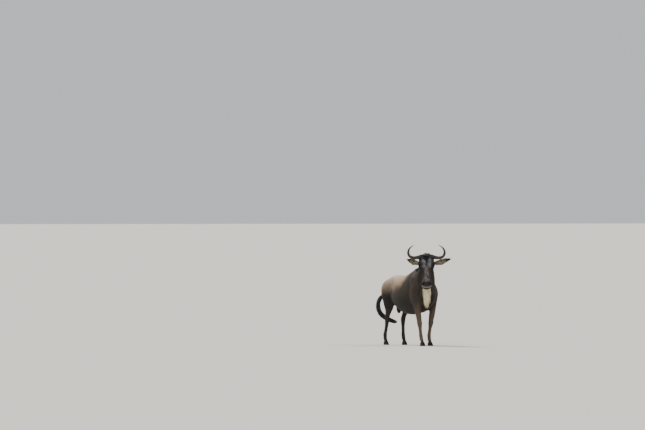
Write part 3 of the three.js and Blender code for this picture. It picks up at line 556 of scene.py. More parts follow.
def raise_forms(points, normals, reading):
    """Pushes the skin along its normals by the forms' bells, the ribs' waves and the face's lines."""
    push = np.zeros(len(points))
    flesh = part_share(reading, "trunk", "neck", *LEGS)
    mirrored = points * np.where(points[:, :1] < 0, (-1.0, 1.0, 1.0), 1.0)
    for centre, spread, height in BODY_FORMS:
        push += height * bump_at(mirrored, centre, spread) * flesh
    ribs = bump_at(mirrored, (0.21, 0.32, 0.80), (0.09, 0.17, 0.17)) * part_share(reading, "trunk")
    slant = points[:, 1] + 0.35 * (points[:, 2] - 0.8)
    push += RIB_DEPTH * ribs * np.cos(2 * math.pi * slant / RIB_SPACING)
    for name, (side, rows) in LEGS.items():
        own = part_share(reading, name)
        for (height, out, back), spread, depth in LEG_FORMS[name[:4]]:
            order = np.argsort(rows[:, 0])
            x = np.interp(height, rows[order, 0], rows[order, 1])
            y = np.interp(height, rows[order, 0], rows[order, 2])
            centre = (side * (x + out), y + back, height)
            push += depth * bump_at(points, centre, spread) * own
    folds = part_share(reading, "neck") * step_between(0.3, 0.7, reading.place[:, COLUMN["neck"]])
    push += 0.0022 * folds * np.sin(2 * math.pi * (points[:, 2] + 0.8 * points[:, 1]) / 0.055)
    face = part_share(reading, "head")
    local = head_coordinates(points)
    level = local * np.where(local[:, 2:] < 0, (1.0, 1.0, -1.0), 1.0)
    for centre, spread, height in HEAD_FORMS:
        push += height * bump_at(level, centre, spread) * face
    push -= NOSTRIL_DEPTH * nostril_share(local) * face
    push -= MOUTH_DEPTH * mouth_line(local) * face * (reading.gap.min(1) < 0.02)
    push += 0.0035 * hump(mouth_line(local), 0.25, 0.2) * face * step_between(0.44, 0.50, local[:, 0])
    return points + normals * push[:, None]


def eye_axes(side):
    """An eye's own axes: along its slit, across it towards the brow, and the way it looks."""
    outward = SIDES[side] * HEAD_LEFT
    look = unit(EYE_LOOK[0] * HEAD_AXIS + EYE_LOOK[1] * HEAD_TOP + EYE_LOOK[2] * outward)
    slit = unit(HEAD_AXIS - (HEAD_AXIS @ look) * look)
    return slit, -SIDES[side] * np.cross(look, slit), look


SLIT_HALF = 0.0175
SLIT_RISE = 0.0100


def slit_edge(along):
    """Half the eye's opening at a place along it: an almond, zero at both corners."""
    return SLIT_RISE * np.clip(1 - (along / SLIT_HALF) ** 2, 0, 1) ** 0.75


def lid_reading(points, side):
    """How far points, seen from an eye's centre, lie outside the edge of its opening, whether
    above it, and their distance from the centre. Points behind the ball are put far off."""
    local = points - EYE_PLACES[side]
    x, y, z = np.array(eye_axes(side)) @ (unit(local) * EYE_RADIUS).T
    edge = np.abs(y) - slit_edge(x) + 3 * np.maximum(np.abs(x) - SLIT_HALF, 0)
    return np.where(z > -0.004, edge, 1.0), y > 0, np.linalg.norm(local, axis=1)


def rim_share(points):
    """1 at the edges of the eyes' openings, falling to 0 four millimetres outside them."""
    total = np.zeros(len(points))
    for side in SIDES:
        edge, _, distance = lid_reading(points, side)
        total += (1 - step_between(0.001, 0.004, edge)) * (distance < 0.034)
    return np.clip(total, 0, 1)


def open_eyes(points):
    """Moves the skin off each eyeball by a lid's thickness, with a crease and a fold round the
    lids that are strongest above, and behind the ball in its opening."""
    moved = points.copy()
    for side in SIDES:
        edge, above, distance = lid_reading(moved, side)
        near = (distance < 0.038) & (edge < 0.5)
        fold = 0.0022 * hump(edge, 0.0110, 0.0036) - 0.0018 * hump(edge, 0.0062, 0.0017)
        fold = np.where(above, fold, 0.45 * fold) * step_between(0.038, 0.030, distance)
        reach = np.maximum(distance, EYE_RADIUS + LID / 2) + fold
        reach = np.where(edge < -0.0006, EYE_RADIUS - 0.005, reach)
        way = unit(moved - EYE_PLACES[side])
        moved = np.where(near[:, None], EYE_PLACES[side] + way * reach[:, None], moved)
    return moved


def ear_line(side):
    """An ear's root and tip, its length and the way along it."""
    root, tip = (beside_head(*place) for place in EARS[side][:2])
    length = np.linalg.norm(tip - root)
    return root, tip, length, (tip - root) / length


def ear_ways(side, along):
    """The way that an ear's cup faces, square to the way along the ear, and the way across it."""
    cup = EARS[side][2]
    facing = cup[0] * HEAD_LEFT + cup[1] * FACING + cup[2] * UP
    facing = unit(facing - (facing @ along) * along)
    return facing, np.cross(facing, along)


def ear_half_width(t):
    """Half an ear's width at shares of the way from its root to its tip."""
    return profile((0, 0.2, 0.42, 0.66, 0.86, 1), (0.018, 0.034, 0.046, 0.038, 0.020, 0.002), t)


def ear_reading(points, side):
    """Where points lie on an ear: the share of the way from its root to its tip, the distance from
    the line between them, and the way along it."""
    root, tip, length, along = ear_line(side)
    t = (points - root) @ along / length
    away = np.linalg.norm(points - root - np.clip(t, -0.1, 1)[:, None] * (tip - root), axis=1)
    return t, away, along


def ear_share(reading):
    """1 on the ears, 0 elsewhere: near an ear's line and off the head."""
    total = np.zeros(len(reading.points))
    for side in EARS:
        t, away, _ = ear_reading(reading.points, side)
        total += (t > 0.02) * (away < 0.06)
    return np.clip(total, 0, 1) * step_between(0.004, 0.02, reading.gap.min(1))


# The coat's pattern: the bands' spacing and the last band's place, half the widths of the painted
# shadow along the mouth's line and of the painted shade round each eye, and how far round the
# throat the beard is drawn by the turned head, in radians.
STRIPE_SPACING = 0.058
STRIPE_LAST = 0.285
MOUTH_SHADE = 0.0095
SOCKET_SHADE = 0.036
BEARD_DRAWN = 0.33


def stripes_at(points, reading):
    """The brindled bands of neck and shoulder: upright dark bands a stripe's spacing apart, the
    last behind the shoulder, that waver a little and fade towards the back line and the breast."""
    waver = 0.040 * (value_noise(points, 0.15, 5) - 0.5) + 0.012 * (value_noise(points, 0.045, 6) - 0.5)
    place = points[:, 1] + 0.16 * (points[:, 2] - 1.0) + waver
    wave = np.cos(2 * math.pi * (place - STRIPE_LAST) / STRIPE_SPACING)
    length = 0.16 * (value_noise(np.stack((place, 0 * place, np.sign(points[:, 0])), -1), 0.05, 9) - 0.5)
    band = step_between(0.10, 0.95, wave) * step_between(-0.36, -0.22, place)
    band *= 1 - step_between(STRIPE_LAST + 0.015, STRIPE_LAST + 0.04, place)
    band *= 0.55 + 0.45 * step_between(0.3, 0.7, value_noise(points, 0.07, 8))
    low = 0.80 + 0.28 * step_between(0.02, 0.30, place) + length
    high = 1.30 + length
    return band * step_between(low, low + 0.09, points[:, 2]) * (
        1 - step_between(high, high + 0.12, points[:, 2])) * part_share(
        reading, "trunk", "neck", "foreleg_left", "foreleg_right")


def mixed(base, other, share):
    """One colour turned towards another by a share for each point."""
    base = np.asarray(base)
    return base + (np.asarray(other) - base) * np.asarray(share)[..., None]


def trunk_colour(hues, reading, drift, sunlit_rump):
    """The trunk: the back and rump painted paler, as sunlit, over the sides' coat, which is darkened as
    painted shade, a darker front, and a belly painted near black as shade.
    """
    up = np.cos(reading.angle[:, COLUMN["trunk"]])
    # Painted sunlight: the top of the trunk turns to the paler back colour, as lit from above.
    back = step_between(-0.05, 0.95, up + drift)
    trunk = mixed(hues["side"], hues["back"], np.maximum(back, 0.85 * sunlit_rump))
    slant = reading.points[:, 1] - 0.7 * (1.24 - reading.points[:, 2]) + 0.3 * drift
    trunk = mixed(trunk, hues["neck"], 1 - step_between(0.02, 0.20, slant))
    # Painted shade: the underside turns to the near black belly colour.
    return mixed(trunk, hues["belly"], step_between(-0.25, 0.60, -up))


def neck_colour(hues, reading):
    """The neck: black under the mane, and pale hide under the beard, where that is drawn aside."""
    angle = reading.angle[:, COLUMN["neck"]]
    neck = mixed(hues["neck"], hues["side"], 0.5 * step_between(0.2, 0.7, np.cos(angle)))
    neck = mixed(neck, hues["mane"], step_between(0.90, 0.98, np.cos(angle)))
    under = step_between(0.90, 0.985, np.cos(angle - math.pi - BEARD_DRAWN))
    under = under * step_between(0.25, 0.4, reading.place[:, COLUMN["neck"]])
    return mixed(neck, hues["throat"], under)


def head_colour(hues, points):
    """The head: black, with brown cheeks, a streaked grey sheen painted on the forehead and down the
    bridge, two painted gleams, pale lips and chin, near black eye rims, and near black painted shade
    in the nostrils, along the mouth, under the upper lip and in the eye sockets."""
    local = head_coordinates(points)
    along, above, aside = local[:, 0], local[:, 1], np.abs(local[:, 2])
    cheek = 0.7 * step_between(0.03, -0.05, above) * (1 - step_between(0.20, 0.34, along))
    head = mixed(hues["face"], hues["cheek"], cheek)
    streaks = 0.25 + 0.75 * step_between(0.15, 0.85, value_noise(local * (0.22, 0.5, 1.0), 0.005, 13))
    streaks *= 0.40 + 0.65 * step_between(0.1, 0.9, value_noise(local * (0.5, 0.7, 1.0), 0.016, 16))
    top = step_between(0.025, 0.055, above)
    # Painted reflection: grey sheen on the forehead either side of its dark middle line.
    forehead_sheen = hump(aside, 0.044, 0.030) * step_between(0.05, 0.13, along)
    forehead_sheen = forehead_sheen * (1 - step_between(0.20, 0.27, along))
    head = mixed(head, hues["sheen"], np.clip(forehead_sheen * top * streaks, 0, 1))
    # Partly the bridge's grey-brown, mostly painted sheen down the bridge of the nose.
    bridge = hump(aside, 0, 0.044) * step_between(0.19, 0.27, along)
    bridge = bridge * (1 - step_between(0.475, 0.497, along))
    head = mixed(head, hues["bridge"], np.clip(bridge * top * streaks, 0, 1))
    # Painted highlights: two gleams on the nose.
    mirrored = local * (1, 1, 0) + aside[:, None] * (0, 0, 1)
    gleam = bump_at(local, (0.452, 0.078, 0.0), (0.028, 0.03, 0.034)) + 0.7 * bump_at(
        mirrored, (0.335, 0.085, 0.020), (0.022, 0.03, 0.014))
    head = mixed(head, hues["sheen"], np.clip(1.3 * gleam * streaks, 0, 1))
    lip = step_between(0.532, 0.548, along) * hump(above, 0.020, 0.017)
    head = mixed(head, hues["lip"], 0.7 * lip)
    chin = step_between(0.47, 0.53, along) * step_between(-0.040, -0.058, above)
    head = mixed(head, hues["throat"], 0.8 * chin)
    # Painted shadow: a dark band under the upper lip, at the mouth's opening.
    shadow_under_lip = step_between(0.50, 0.53, along) * hump(above, -0.026, 0.018)
    # Painted shade along the mouth's line and in the nostrils; the eye rims are dark skin.
    dark = mouth_line(local, MOUTH_SHADE) * 1.3 + nostril_share(local) * 1.5 + rim_share(points)
    dark = dark + 0.85 * shadow_under_lip
    # Painted shade in the eye sockets.
    dark += sum(0.85 * bump_at(points, place, (SOCKET_SHADE,) * 3) for place in EYE_PLACES.values())
    return mixed(head, hues["mouth"], np.clip(dark, 0, 1))


def leg_colour(hues, reading, name, sunlit_rump):
    """A leg: its upper coat and its lower one, with painted shade on the thighs, the hind legs and the
    inner side, the forelegs painted paler as lit, and darker just over the hoof.
    """
    height = reading.points[:, 2]
    fore = name.startswith("fore")
    # Painted shade: the thigh is near black below the sunlit rump.
    upper = hues["side"] if fore else mixed(hues["haunch"], hues["back"], sunlit_rump * 0.7)
    # Painted light: the lower forelegs are paler as lit, the lower hind legs darker as in shade.
    leg = mixed(upper, hues["foreleg" if fore else "hindleg"], 1 - step_between(0.42, 0.78, height))
    # Painted shade on the inner side, between the legs.
    inner = step_between(0.0, 0.8, -LEGS[name][0] * np.sin(reading.angle[:, COLUMN[name]]))
    leg = mixed(leg, hues["belly"], 0.35 * inner)
    return mixed(leg, hues["mouth"], 0.7 * (1 - step_between(0.07, 0.10, height)))


def markings(reading):
    """The coat's linear colour at each point, from where it lies on the animal's parts. Sunlight is
    painted on the back and rump, shade on the sides, belly, thighs and hind legs, and sheen and shade on
    the face.
    """
    hues = {name: np.array(getattr(bpy.context.scene.wildebeest_colours, name)) for name in COLOURS}
    points = reading.points
    drift = 0.24 * (value_noise(points, 0.10, 14) - 0.5) + 0.12 * (value_noise(points, 0.03, 15) - 0.5)
    # Painted sunlight on the rump: its upper rear is made paler, as the sun falls there.
    sunlit_rump = step_between(0.40, 0.85, points[:, 1]) * step_between(0.74, 1.02, points[:, 2] + 0.3 * drift)
    dock = step_between(0.08, 0.2, reading.place[:, COLUMN["tail"]])
    coats = {
        "trunk": trunk_colour(hues, reading, drift, sunlit_rump), "neck": neck_colour(hues, reading),
        # The tail's root takes the back's colour, painted sunlit.
        "head": head_colour(hues, points), "tail": mixed(hues["back"], hues["mane"], dock),
        **{name: leg_colour(hues, reading, name, sunlit_rump) for name in LEGS},
    }
    colour = sum(part_share(reading, name)[:, None] * coat for name, coat in coats.items())
    colour = mixed(colour, hues["stripe"], 0.88 * stripes_at(points, reading))
    ear = ear_share(reading)
    for side in EARS:
        t, away, _ = ear_reading(points, side)
        tone = mixed(hues["ear"], hues["mouth"], step_between(0.55, 0.95, t))
        colour = mixed(colour, tone, ear * (away < EAR_REACH))
    mottle = 0.86 + 0.18 * value_noise(points, 0.045, 3) + 0.10 * value_noise(points, 0.011, 4)
    return np.clip(colour * mottle[:, None], 0, 1)


def mesh_from(name, points, triangles):
    """A mesh from whole arrays of points and of triangles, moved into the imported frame."""
    mesh = bpy.data.meshes.new(name)
    mesh.vertices.add(len(points))
    mesh.vertices.foreach_set("co", (points + SHIFT).astype(np.float32).ravel())
    mesh.loops.add(triangles.size)
    mesh.loops.foreach_set("vertex_index", triangles.astype(np.int32).ravel())
    mesh.polygons.add(len(triangles))
    mesh.polygons.foreach_set("loop_start", np.arange(0, triangles.size, 3, dtype=np.int32))
    mesh.update(calc_edges=True)
    mesh.shade_smooth()
    return mesh


def read_mesh(mesh):
    """A mesh's points, back in the design's place, and its faces as triangles."""
    points = np.empty(len(mesh.vertices) * 3, np.float32)
    mesh.vertices.foreach_get("co", points)
    mesh.calc_loop_triangles()
    triangles = np.empty(len(mesh.loop_triangles) * 3, np.int32)
    mesh.loop_triangles.foreach_get("vertices", triangles)
    return points.reshape(-1, 3).astype(float) - SHIFT, triangles.reshape(-1, 3)


def paint(mesh, colours, name="coat_colour"):
    """Writes linear colours, one for each point, as a colour attribute."""
    attribute = mesh.color_attributes.new(name, "FLOAT_COLOR", "POINT")
    values = np.ones((len(colours), 4), np.float32)
    values[:, :3] = colours
    attribute.data.foreach_set("color", values.ravel())


def write_map(mesh, name, coordinates):
    """Writes a UV map from one pair of numbers for each face corner."""
    layer = mesh.uv_layers.new(name=name)
    layer.data.foreach_set("uv", coordinates.astype(np.float32).ravel())


def write_vectors(mesh, name, values):
    """Writes a vector attribute, one for each point."""
    mesh.attributes.new(name, "FLOAT_VECTOR", "POINT").data.foreach_set(
        "vector", values.astype(np.float32).ravel())


def corner_points(mesh):
    """The point of each face corner."""
    index = np.empty(len(mesh.loops), np.int32)
    mesh.loops.foreach_get("vertex_index", index)
    return index


def finish_piece(name, mesh, material, replaces=()):
    """Puts a mesh in the scene as a piece that rides on the still body."""
    piece = bpy.data.objects.new(name, mesh)
    bpy.context.scene.collection.objects.link(piece)
    mesh.materials.append(material)
    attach(piece, "root")
    if replaces:
        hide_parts(*replaces)
    return piece


def grid_triangles(rings, sides):
    """Triangles of a closed tube of rings, and fans to its two end points, which come last."""
    ring, side = np.meshgrid(np.arange(rings - 1), np.arange(sides), indexing="ij")
    a = ring * sides + side
    b = ring * sides + (side + 1) % sides
    wall = np.stack((a, b, b + sides, a, b + sides, a + sides), axis=-1).reshape(-1, 3)
    edge = np.arange(sides)
    turn = (edge + 1) % sides
    first, last = rings * sides, rings * sides + 1
    start = np.stack((np.full(sides, first), turn, edge), axis=-1)
    top = (rings - 1) * sides
    end = np.stack((np.full(sides, last), top + edge, top + turn), axis=-1)
    return np.concatenate((wall, start, end))


def outward(points, triangles):
    """Triangles turned so that they enclose a positive volume."""
    a, b, c = (points[triangles[:, i]] for i in range(3))
    return triangles if np.einsum("ij,ij", a, np.cross(b, c)) > 0 else triangles[:, ::-1]


def loft(section_at, rings, sides, grow=0.0):
    """A closed tube through a form's sections, with an end point past each end by grow."""
    t = np.linspace(0, 1, rings)
    angle = np.linspace(0, 2 * math.pi, sides, endpoint=False)
    grid = section_point(section_at(t[:, None]), angle[None, :], grow)
    tips = section_at(np.array((0.0, 1.0))).centre
    inner = section_at(np.array((0.02, 0.98))).centre
    points = np.concatenate((grid.reshape(-1, 3), tips + unit(tips - inner) * grow))
    return points, outward(points, grid_triangles(rings, sides))


def ellipsoid(centre, axes, radii, rings=24, sides=32):
    """A ball stretched along three axes: rings of cosines and sines of the height angle."""
    height = np.linspace(0, math.pi, rings + 2)[1:-1, None]
    angle = np.linspace(0, 2 * math.pi, sides, endpoint=False)[None, :]
    ball = np.stack((np.sin(height) * np.cos(angle), np.sin(height) * np.sin(angle),
                     np.cos(height) + 0 * angle), axis=-1).reshape(-1, 3)
    ball = np.concatenate((ball, ((0, 0, 1), (0, 0, -1))))
    points = centre + (ball * radii) @ np.asarray(axes)
    return points, outward(points, grid_triangles(rings, sides))


def combined(shapes):
    """Several closed shapes as one pair of arrays."""
    counts = np.cumsum([0] + [len(points) for points, _ in shapes[:-1]])
    return (np.concatenate([points for points, _ in shapes]),
            np.concatenate([triangles + n for (_, triangles), n in zip(shapes, counts)]))


def ear_shape(side, steps=30, folds=14):
    """An ear: a curled leaf with an outer and an inner wall that meet at its rim. Its half width
    and curl run along it, and each wall is an arc of that curl about the cup's way."""
    root, tip, length, along = ear_line(side)
    facing, wide = ear_ways(side, along)
    t = np.linspace(0, 1, steps)[:, None]
    half = ear_half_width(t)
    curl = profile((0, 0.3, 0.7, 1), (2.5, 1.9, 1.1, 0.5), t)
    fold = np.linspace(-1, 1, folds)
    fold = np.concatenate((fold, fold[::-1]))[None, :]
    inner = (np.arange(2 * folds) >= folds)[None, :]
    radius = half / np.sin(np.minimum(curl, math.pi / 2))
    wall = EAR_WALL * (1 - 0.6 * np.abs(fold)) * np.minimum(1, 6 * (1 - t) + 0.2)
    reach = radius - np.where(inner, wall, 0.0)
    ripple = 0.0012 * np.sin(5 * math.pi * t) * fold ** 2
    points = (root + length * t[..., None] * along + (np.sin(curl * fold) * reach)[..., None] * wide
              + (radius * 0.55 - np.cos(curl * fold) * reach + ripple)[..., None] * facing)
    points = np.concatenate((points.reshape(-1, 3), [root, tip + 0.001 * along]))
    shell = points, outward(points, grid_triangles(steps, 2 * folds))
    stem = tube_section_of((root - 0.03 * along, root + 0.004 * along, root + 0.02 * along),
                           lambda t: 0.019 - 0.004 * t)
    return shell, loft(stem, 8, 24)


def relax(points, triangles, weight, rounds):
    """Moves each point towards the mean of its neighbours by its weight, round after round."""
    edges = np.concatenate((triangles[:, :2], triangles[:, 1:], triangles[:, ::2]))
    a, b = np.concatenate((edges, edges[:, ::-1])).T
    count = np.maximum(np.bincount(a, minlength=len(points)), 1)[:, None]
    for _ in range(rounds):
        mean = np.stack([np.bincount(a, points[b, c], len(points)) for c in range(3)], axis=1) / count
        points = points + weight[:, None] * (mean - points)
    return points


def point_normals(points, triangles):
    """Normals at points: the sum of their triangles' normals, weighted by area."""
    a, b, c = (points[triangles[:, i]] for i in range(3))
    face = np.cross(b - a, c - a)
    total = np.stack([sum(np.bincount(triangles[:, i], face[:, c], len(points)) for i in range(3))
                      for c in range(3)], axis=1)
    return unit(total)


# How a triangle with one, two or three of its edges split is divided: 0 to 2 are its corners, and
# 3 to 5 the middles of the edges that follow them.
DIVISIONS = {
    1: ((0, 3, 2), (3, 1, 2)),
    2: ((3, 1, 4), (0, 3, 4), (0, 4, 2)),
    3: ((0, 3, 5), (3, 1, 4), (5, 4, 2), (3, 4, 5)),
}


def refined(points, triangles, chosen):
    """Splits the chosen triangles in four at their edges' middles, and their neighbours to fit."""
    edges = np.sort(np.concatenate([triangles[:, [i, (i + 1) % 3]] for i in range(3)]), axis=1)
    keys, index = np.unique(edges[:, 0].astype(np.int64) * len(points) + edges[:, 1], return_inverse=True)
    index = index.reshape(3, -1).T
    split = np.zeros(len(keys), bool)
    split[index[chosen].ravel()] = True
    middle = np.where(split, len(points) + np.cumsum(split) - 1, -1)[index]
    ends = np.stack((keys // len(points), keys % len(points)), axis=1)[split]
    made = [triangles[(middle < 0).all(1)]]
    for turn, kinds in ((0, (1, 2)), (1, (1, 2)), (2, (1, 2)), (0, (3,))):
        corners = np.concatenate([np.roll(part, -turn, axis=1) for part in (triangles, middle)], axis=1)
        for kind in kinds:
            own = corners[((corners[:, 3:] >= 0) == (np.arange(3) < kind)).all(1)]
            made += [own[:, part] for part in DIVISIONS[kind]]
    return np.concatenate((points, points[ends].mean(1))), np.concatenate(made)


def modified(mesh, kind, **settings):
    """A copy of a mesh after one modifier."""
    carrier = bpy.data.objects.new("carrier", mesh)
    bpy.context.scene.collection.objects.link(carrier)
    modifier = carrier.modifiers.new("change", kind)
    for name, value in settings.items():
        setattr(modifier, name, value)
    made = bpy.data.meshes.new_from_object(carrier.evaluated_get(bpy.context.evaluated_depsgraph_get()))
    bpy.data.objects.remove(carrier)
    return made


def near_eyes(points, reach):
    """Whether points lie within a reach of either eye's centre."""
    return np.minimum(*(np.linalg.norm(points - place, axis=1) for place in EYE_PLACES.values())) < reach


def skin_surface(voxel, coat_depth, face_depth):
    """The skin's points and triangles: every part's loft drawn in by the coat's depth, joined by a
    voxel remesh, its joins relaxed, ears joined on, and the face split finer for its folds."""
    shells = []
    for name, section_at in PARTS.items():
        short = name == "head" or name in LEGS
        if name == "tail":
            shells.append(loft(lambda t: tail_section(0.5 * t), 40, 24, -face_depth))
        else:
            shells.append(loft(section_at, 90, 64, -(face_depth if short else coat_depth)))
    shells.append(ellipsoid(LOBE_CENTRE, np.eye(3), LOBE_RADII - face_depth))
    joined = modified(mesh_from("shells", *combined(shells)), "REMESH", mode="VOXEL", voxel_size=voxel)
    points, triangles = read_mesh(joined)
    reading = read_animal(points)
    other = np.sort(reading.gap, axis=1)[:, 1]
    points = relax(points, triangles, 0.6 * np.exp(-(other / 0.03) ** 2), 40)
    points = relax(points, triangles, 0.6 * bump_at(points, (0.0, 0.97, 0.80), (0.2, 0.07, 0.08)), 60)
    points = relax(points, triangles, np.full(len(points), 0.25), 3)
    skin = mesh_from("skin", points, triangles)
    for side in EARS:
        ear = bpy.data.objects.new("ear", mesh_from("ear", *combined(ear_shape(side)[:1])))
        stem = bpy.data.objects.new("stem", mesh_from("stem", *ear_shape(side)[1]))
        for piece in (ear, stem):
            bpy.context.scene.collection.objects.link(piece)
            skin = modified(skin, "BOOLEAN", operation="UNION", solver="MANIFOLD", object=piece)
            bpy.data.objects.remove(piece)
    points, triangles = read_mesh(skin)
    local = head_coordinates(points)
    face = (np.abs(local[:, 2]) < 0.13) & (local[:, 0] > 0.0) & (np.abs(local[:, 1]) < 0.145)
    points, triangles = refined(points, triangles, face[triangles].all(1))
    points = relax(points, triangles, 0.5 * step_between(-0.02, 0.02, head_coordinates(points)[:, 0])
                   * (ear_share(read_animal(points)) < 0.5), 4)
    local = head_coordinates(points)
    fine = near_eyes(points, 0.036) | (nostril_share(local) > 0.02) | (mouth_line(local) > 0.05)
    fine &= face_region(local)
    points, triangles = refined(points, triangles, fine[triangles].all(1))
    points, triangles = refined(points, triangles, near_eyes(points, 0.028)[triangles].all(1))
    reading = read_animal(points)
    points = raise_forms(points, point_normals(points, triangles), reading)
    points = open_eyes(points)
    return points, triangles


def face_region(local):
    """Whether points lie on the head ahead of its poll, in head coordinates."""
    return (np.abs(local[:, 2]) < 0.14) & (local[:, 0] > 0.06) & (np.abs(local[:, 1]) < 0.15)


def bare_share(reading):
    """1 where the hide is bare: the nose, the lips and the rims of the eyes."""
    local = head_coordinates(reading.points)
    nose = step_between(0.505, 0.535, local[:, 0]) * part_share(reading, "head")
    lines = np.clip(mouth_line(local) + nostril_share(local), 0, 1) * part_share(reading, "head")
    return np.clip(nose + rim_share(reading.points) + lines, 0, 1)


ATLAS_ROW = 3


def unwrap(reading):
    """The skin laid out flat: each part has a cell of its own, angle round it across the cell and
    place along it up the cell. The ears share the last cell."""
    nearest = reading.gap.argmin(1)
    rows = np.arange(len(nearest))
    across = reading.angle[rows, nearest] / (2 * math.pi) + 0.5
    up = reading.place[rows, nearest]
    ear = ear_share(reading) > 0.5
    for k, side in enumerate(EARS):
        t, away, _ = ear_reading(reading.points, side)
        own = ear & (away < EAR_REACH)
        nearest = np.where(own, len(PART_NAMES), nearest)
        across = np.where(own, 0.25 + 0.5 * k + 0.2 * away / 0.06, across)
        up = np.where(own, t, up)
    cell = np.stack((nearest % ATLAS_ROW, nearest // ATLAS_ROW), axis=-1)
    return (cell + 0.03 + 0.94 * np.clip(np.stack((across, up), axis=-1), 0, 1)) / ATLAS_ROW


def lie_map(reading):
    """Metres across and along the coat's lie, from each point's angle and place on its part."""
    nearest = reading.gap.argmin(1)
    rows = np.arange(len(nearest))
    girth = np.array([0.20, 0.12, 0.09, 0.02] + [0.05] * len(LEGS))
    run = np.array([1.3, 0.75, 0.58, 1.0] + [1.1] * len(LEGS))
    return np.stack((reading.angle[rows, nearest] * girth[nearest],
                     reading.place[rows, nearest] * run[nearest]), axis=-1)


# The size of a tuft's patch on the unwrapped skin, and how deep its root is sunk in the hide.
PATCH = 0.003
TUFT_SINK = 0.0015


def bake_map(mesh, roots_at, corners_each):
    """The OFBake map: each tuft or lock is a patch of that size at its root's place."""
    index = corner_points(mesh)
    offset = np.linspace(-0.5, 0.5, corners_each) * PATCH
    spread = np.stack((offset, np.tile((-0.5, 0.0, 0.5), corners_each)[:corners_each] * PATCH), axis=-1)
    coordinates = roots_at[index // corners_each] + spread[index % corners_each]
    write_map(mesh, "OFBake", coordinates)


def scatter(points, triangles, weight, count, rng):
    """About a count of random places on the triangles, thicker where their weights are high:
    returns each place's triangle and the weights of its corners."""
    a, b, c = (points[triangles[:, i]] for i in range(3))
    area = np.linalg.norm(np.cross(b - a, c - a), axis=1) / 2
    density = weight * count / (area * weight).sum()
    index = np.repeat(np.arange(len(triangles)), rng.poisson(area * density))
    u, v = np.sqrt(rng.random(len(index))), rng.random(len(index))
    return index, np.stack((1 - u, u * (1 - v), u * v), axis=-1)


TUFT = np.array(((0, 2, 3), (2, 1, 3), (1, 0, 3), (0, 1, 2)))


def tufts(name, roots, normals, flow, colours, length, width, lift):
    """Short flat tufts: two root corners sunk in the skin, a ridge above them, and a tip out along
    the lie, lifted by its share of the length. Arrays hold one value for each tuft."""
    aside = np.cross(normals, flow) * (width / 2)[:, None]
    left = roots + aside - normals * TUFT_SINK
    right = roots - aside - normals * TUFT_SINK
    ridge = roots + flow * (0.3 * length)[:, None] + normals * (0.16 * width + 0.3 * lift * length)[:, None]
    tip = roots + flow * length[:, None] + normals * (lift * length)[:, None]
    points = np.stack((left, right, ridge, tip), axis=1).reshape(-1, 3)
    triangles = (TUFT[None] + 4 * np.arange(len(roots))[:, None, None]).reshape(-1, 3)
    triangles = outward(points, triangles)
    mesh = mesh_from(name, points, triangles)
    shade = np.array((0.80, 0.80, 1.0, 1.12))[None, :, None]
    paint(mesh, np.clip(colours[:, None, :] * shade, 0, 1).reshape(-1, 3))
    own = point_normals(points, triangles)
    mesh.normals_split_custom_set_from_vertices(unit(0.35 * own + np.repeat(normals, 4, axis=0)))
    bake_map(mesh, unwrap(read_animal(roots)), 4)
    return mesh


def locks(name, paths, flat, width, thickness, colours):
    """Long locks along paths (lock, step, place): three-sided, widest a third of the way down and
    drawn to a point. flat is each lock's thin way and colours are given at root and tip."""
    count, steps, _ = paths.shape
    along = unit(np.gradient(paths, axis=1))
    wide = unit(np.cross(along, flat[:, None, :]))
    thin = np.cross(wide, along)
    t = np.linspace(0, 1, steps)[:-1]
    full = profile((0, 0.3, 0.7, 1), (0.6, 1.0, 0.72, 0.0), t)[None, :, None]
    rings = []
    for turn in (0.5, 2.6, 4.7):
        rings.append(paths[:, :-1] + wide[:, :-1] * (0.5 * math.cos(turn) * full * width[:, None, None])
                     + thin[:, :-1] * (0.5 * math.sin(turn) * full * thickness[:, None, None]))
    each = 3 * (steps - 1) + 1
    points = np.stack(rings, axis=2).reshape(count, -1, 3)
    points = np.concatenate((points, paths[:, -1:]), axis=1).reshape(-1, 3)
    edges = [(3 * r + i, 3 * r + (i + 1) % 3) for r in range(steps - 1) for i in range(3)]
    wall = [(a, b, b + 3) for a, b in edges[:-3]] + [(a, b + 3, a + 3) for a, b in edges[:-3]]
    wall += [(a, b, each - 1) for a, b in edges[-3:]] + [(0, 2, 1)]
    triangles = (np.array(wall)[None] + each * np.arange(count)[:, None, None]).reshape(-1, 3)
    mesh = mesh_from(name, points, outward(points, triangles))
    down = np.append(np.repeat(t, 3), 1.0)[None, :, None]
    paint(mesh, np.clip(colours[0][:, None] * (1 - down) + colours[1][:, None] * down, 0, 1).reshape(-1, 3))
    bake_map(mesh, unwrap(read_animal(paths[:, 0])), each)
    return mesh


def varied(colour, count, rng, spread=0.22):
    """One colour for each lock, each a little lighter or darker than the rest."""
    return np.asarray(colour)[None] * (1 + spread * (rng.random((count, 1)) * 2 - 1))


def over_form(section_at, place, slip, start, end, rise, steps=7):
    """Paths that lie over a form: share by share along each lock the place slips along the form,
    the angle goes from start to end, and the height over the surface follows rise."""
    share = np.linspace(0, 1, steps)[None, :]
    angle = start[:, None] + (end - start)[:, None] * share ** 0.8
    section = section_at(np.clip(place[:, None] + slip[:, None] * share, 0, 1))
    return section_point(section, angle, rise)


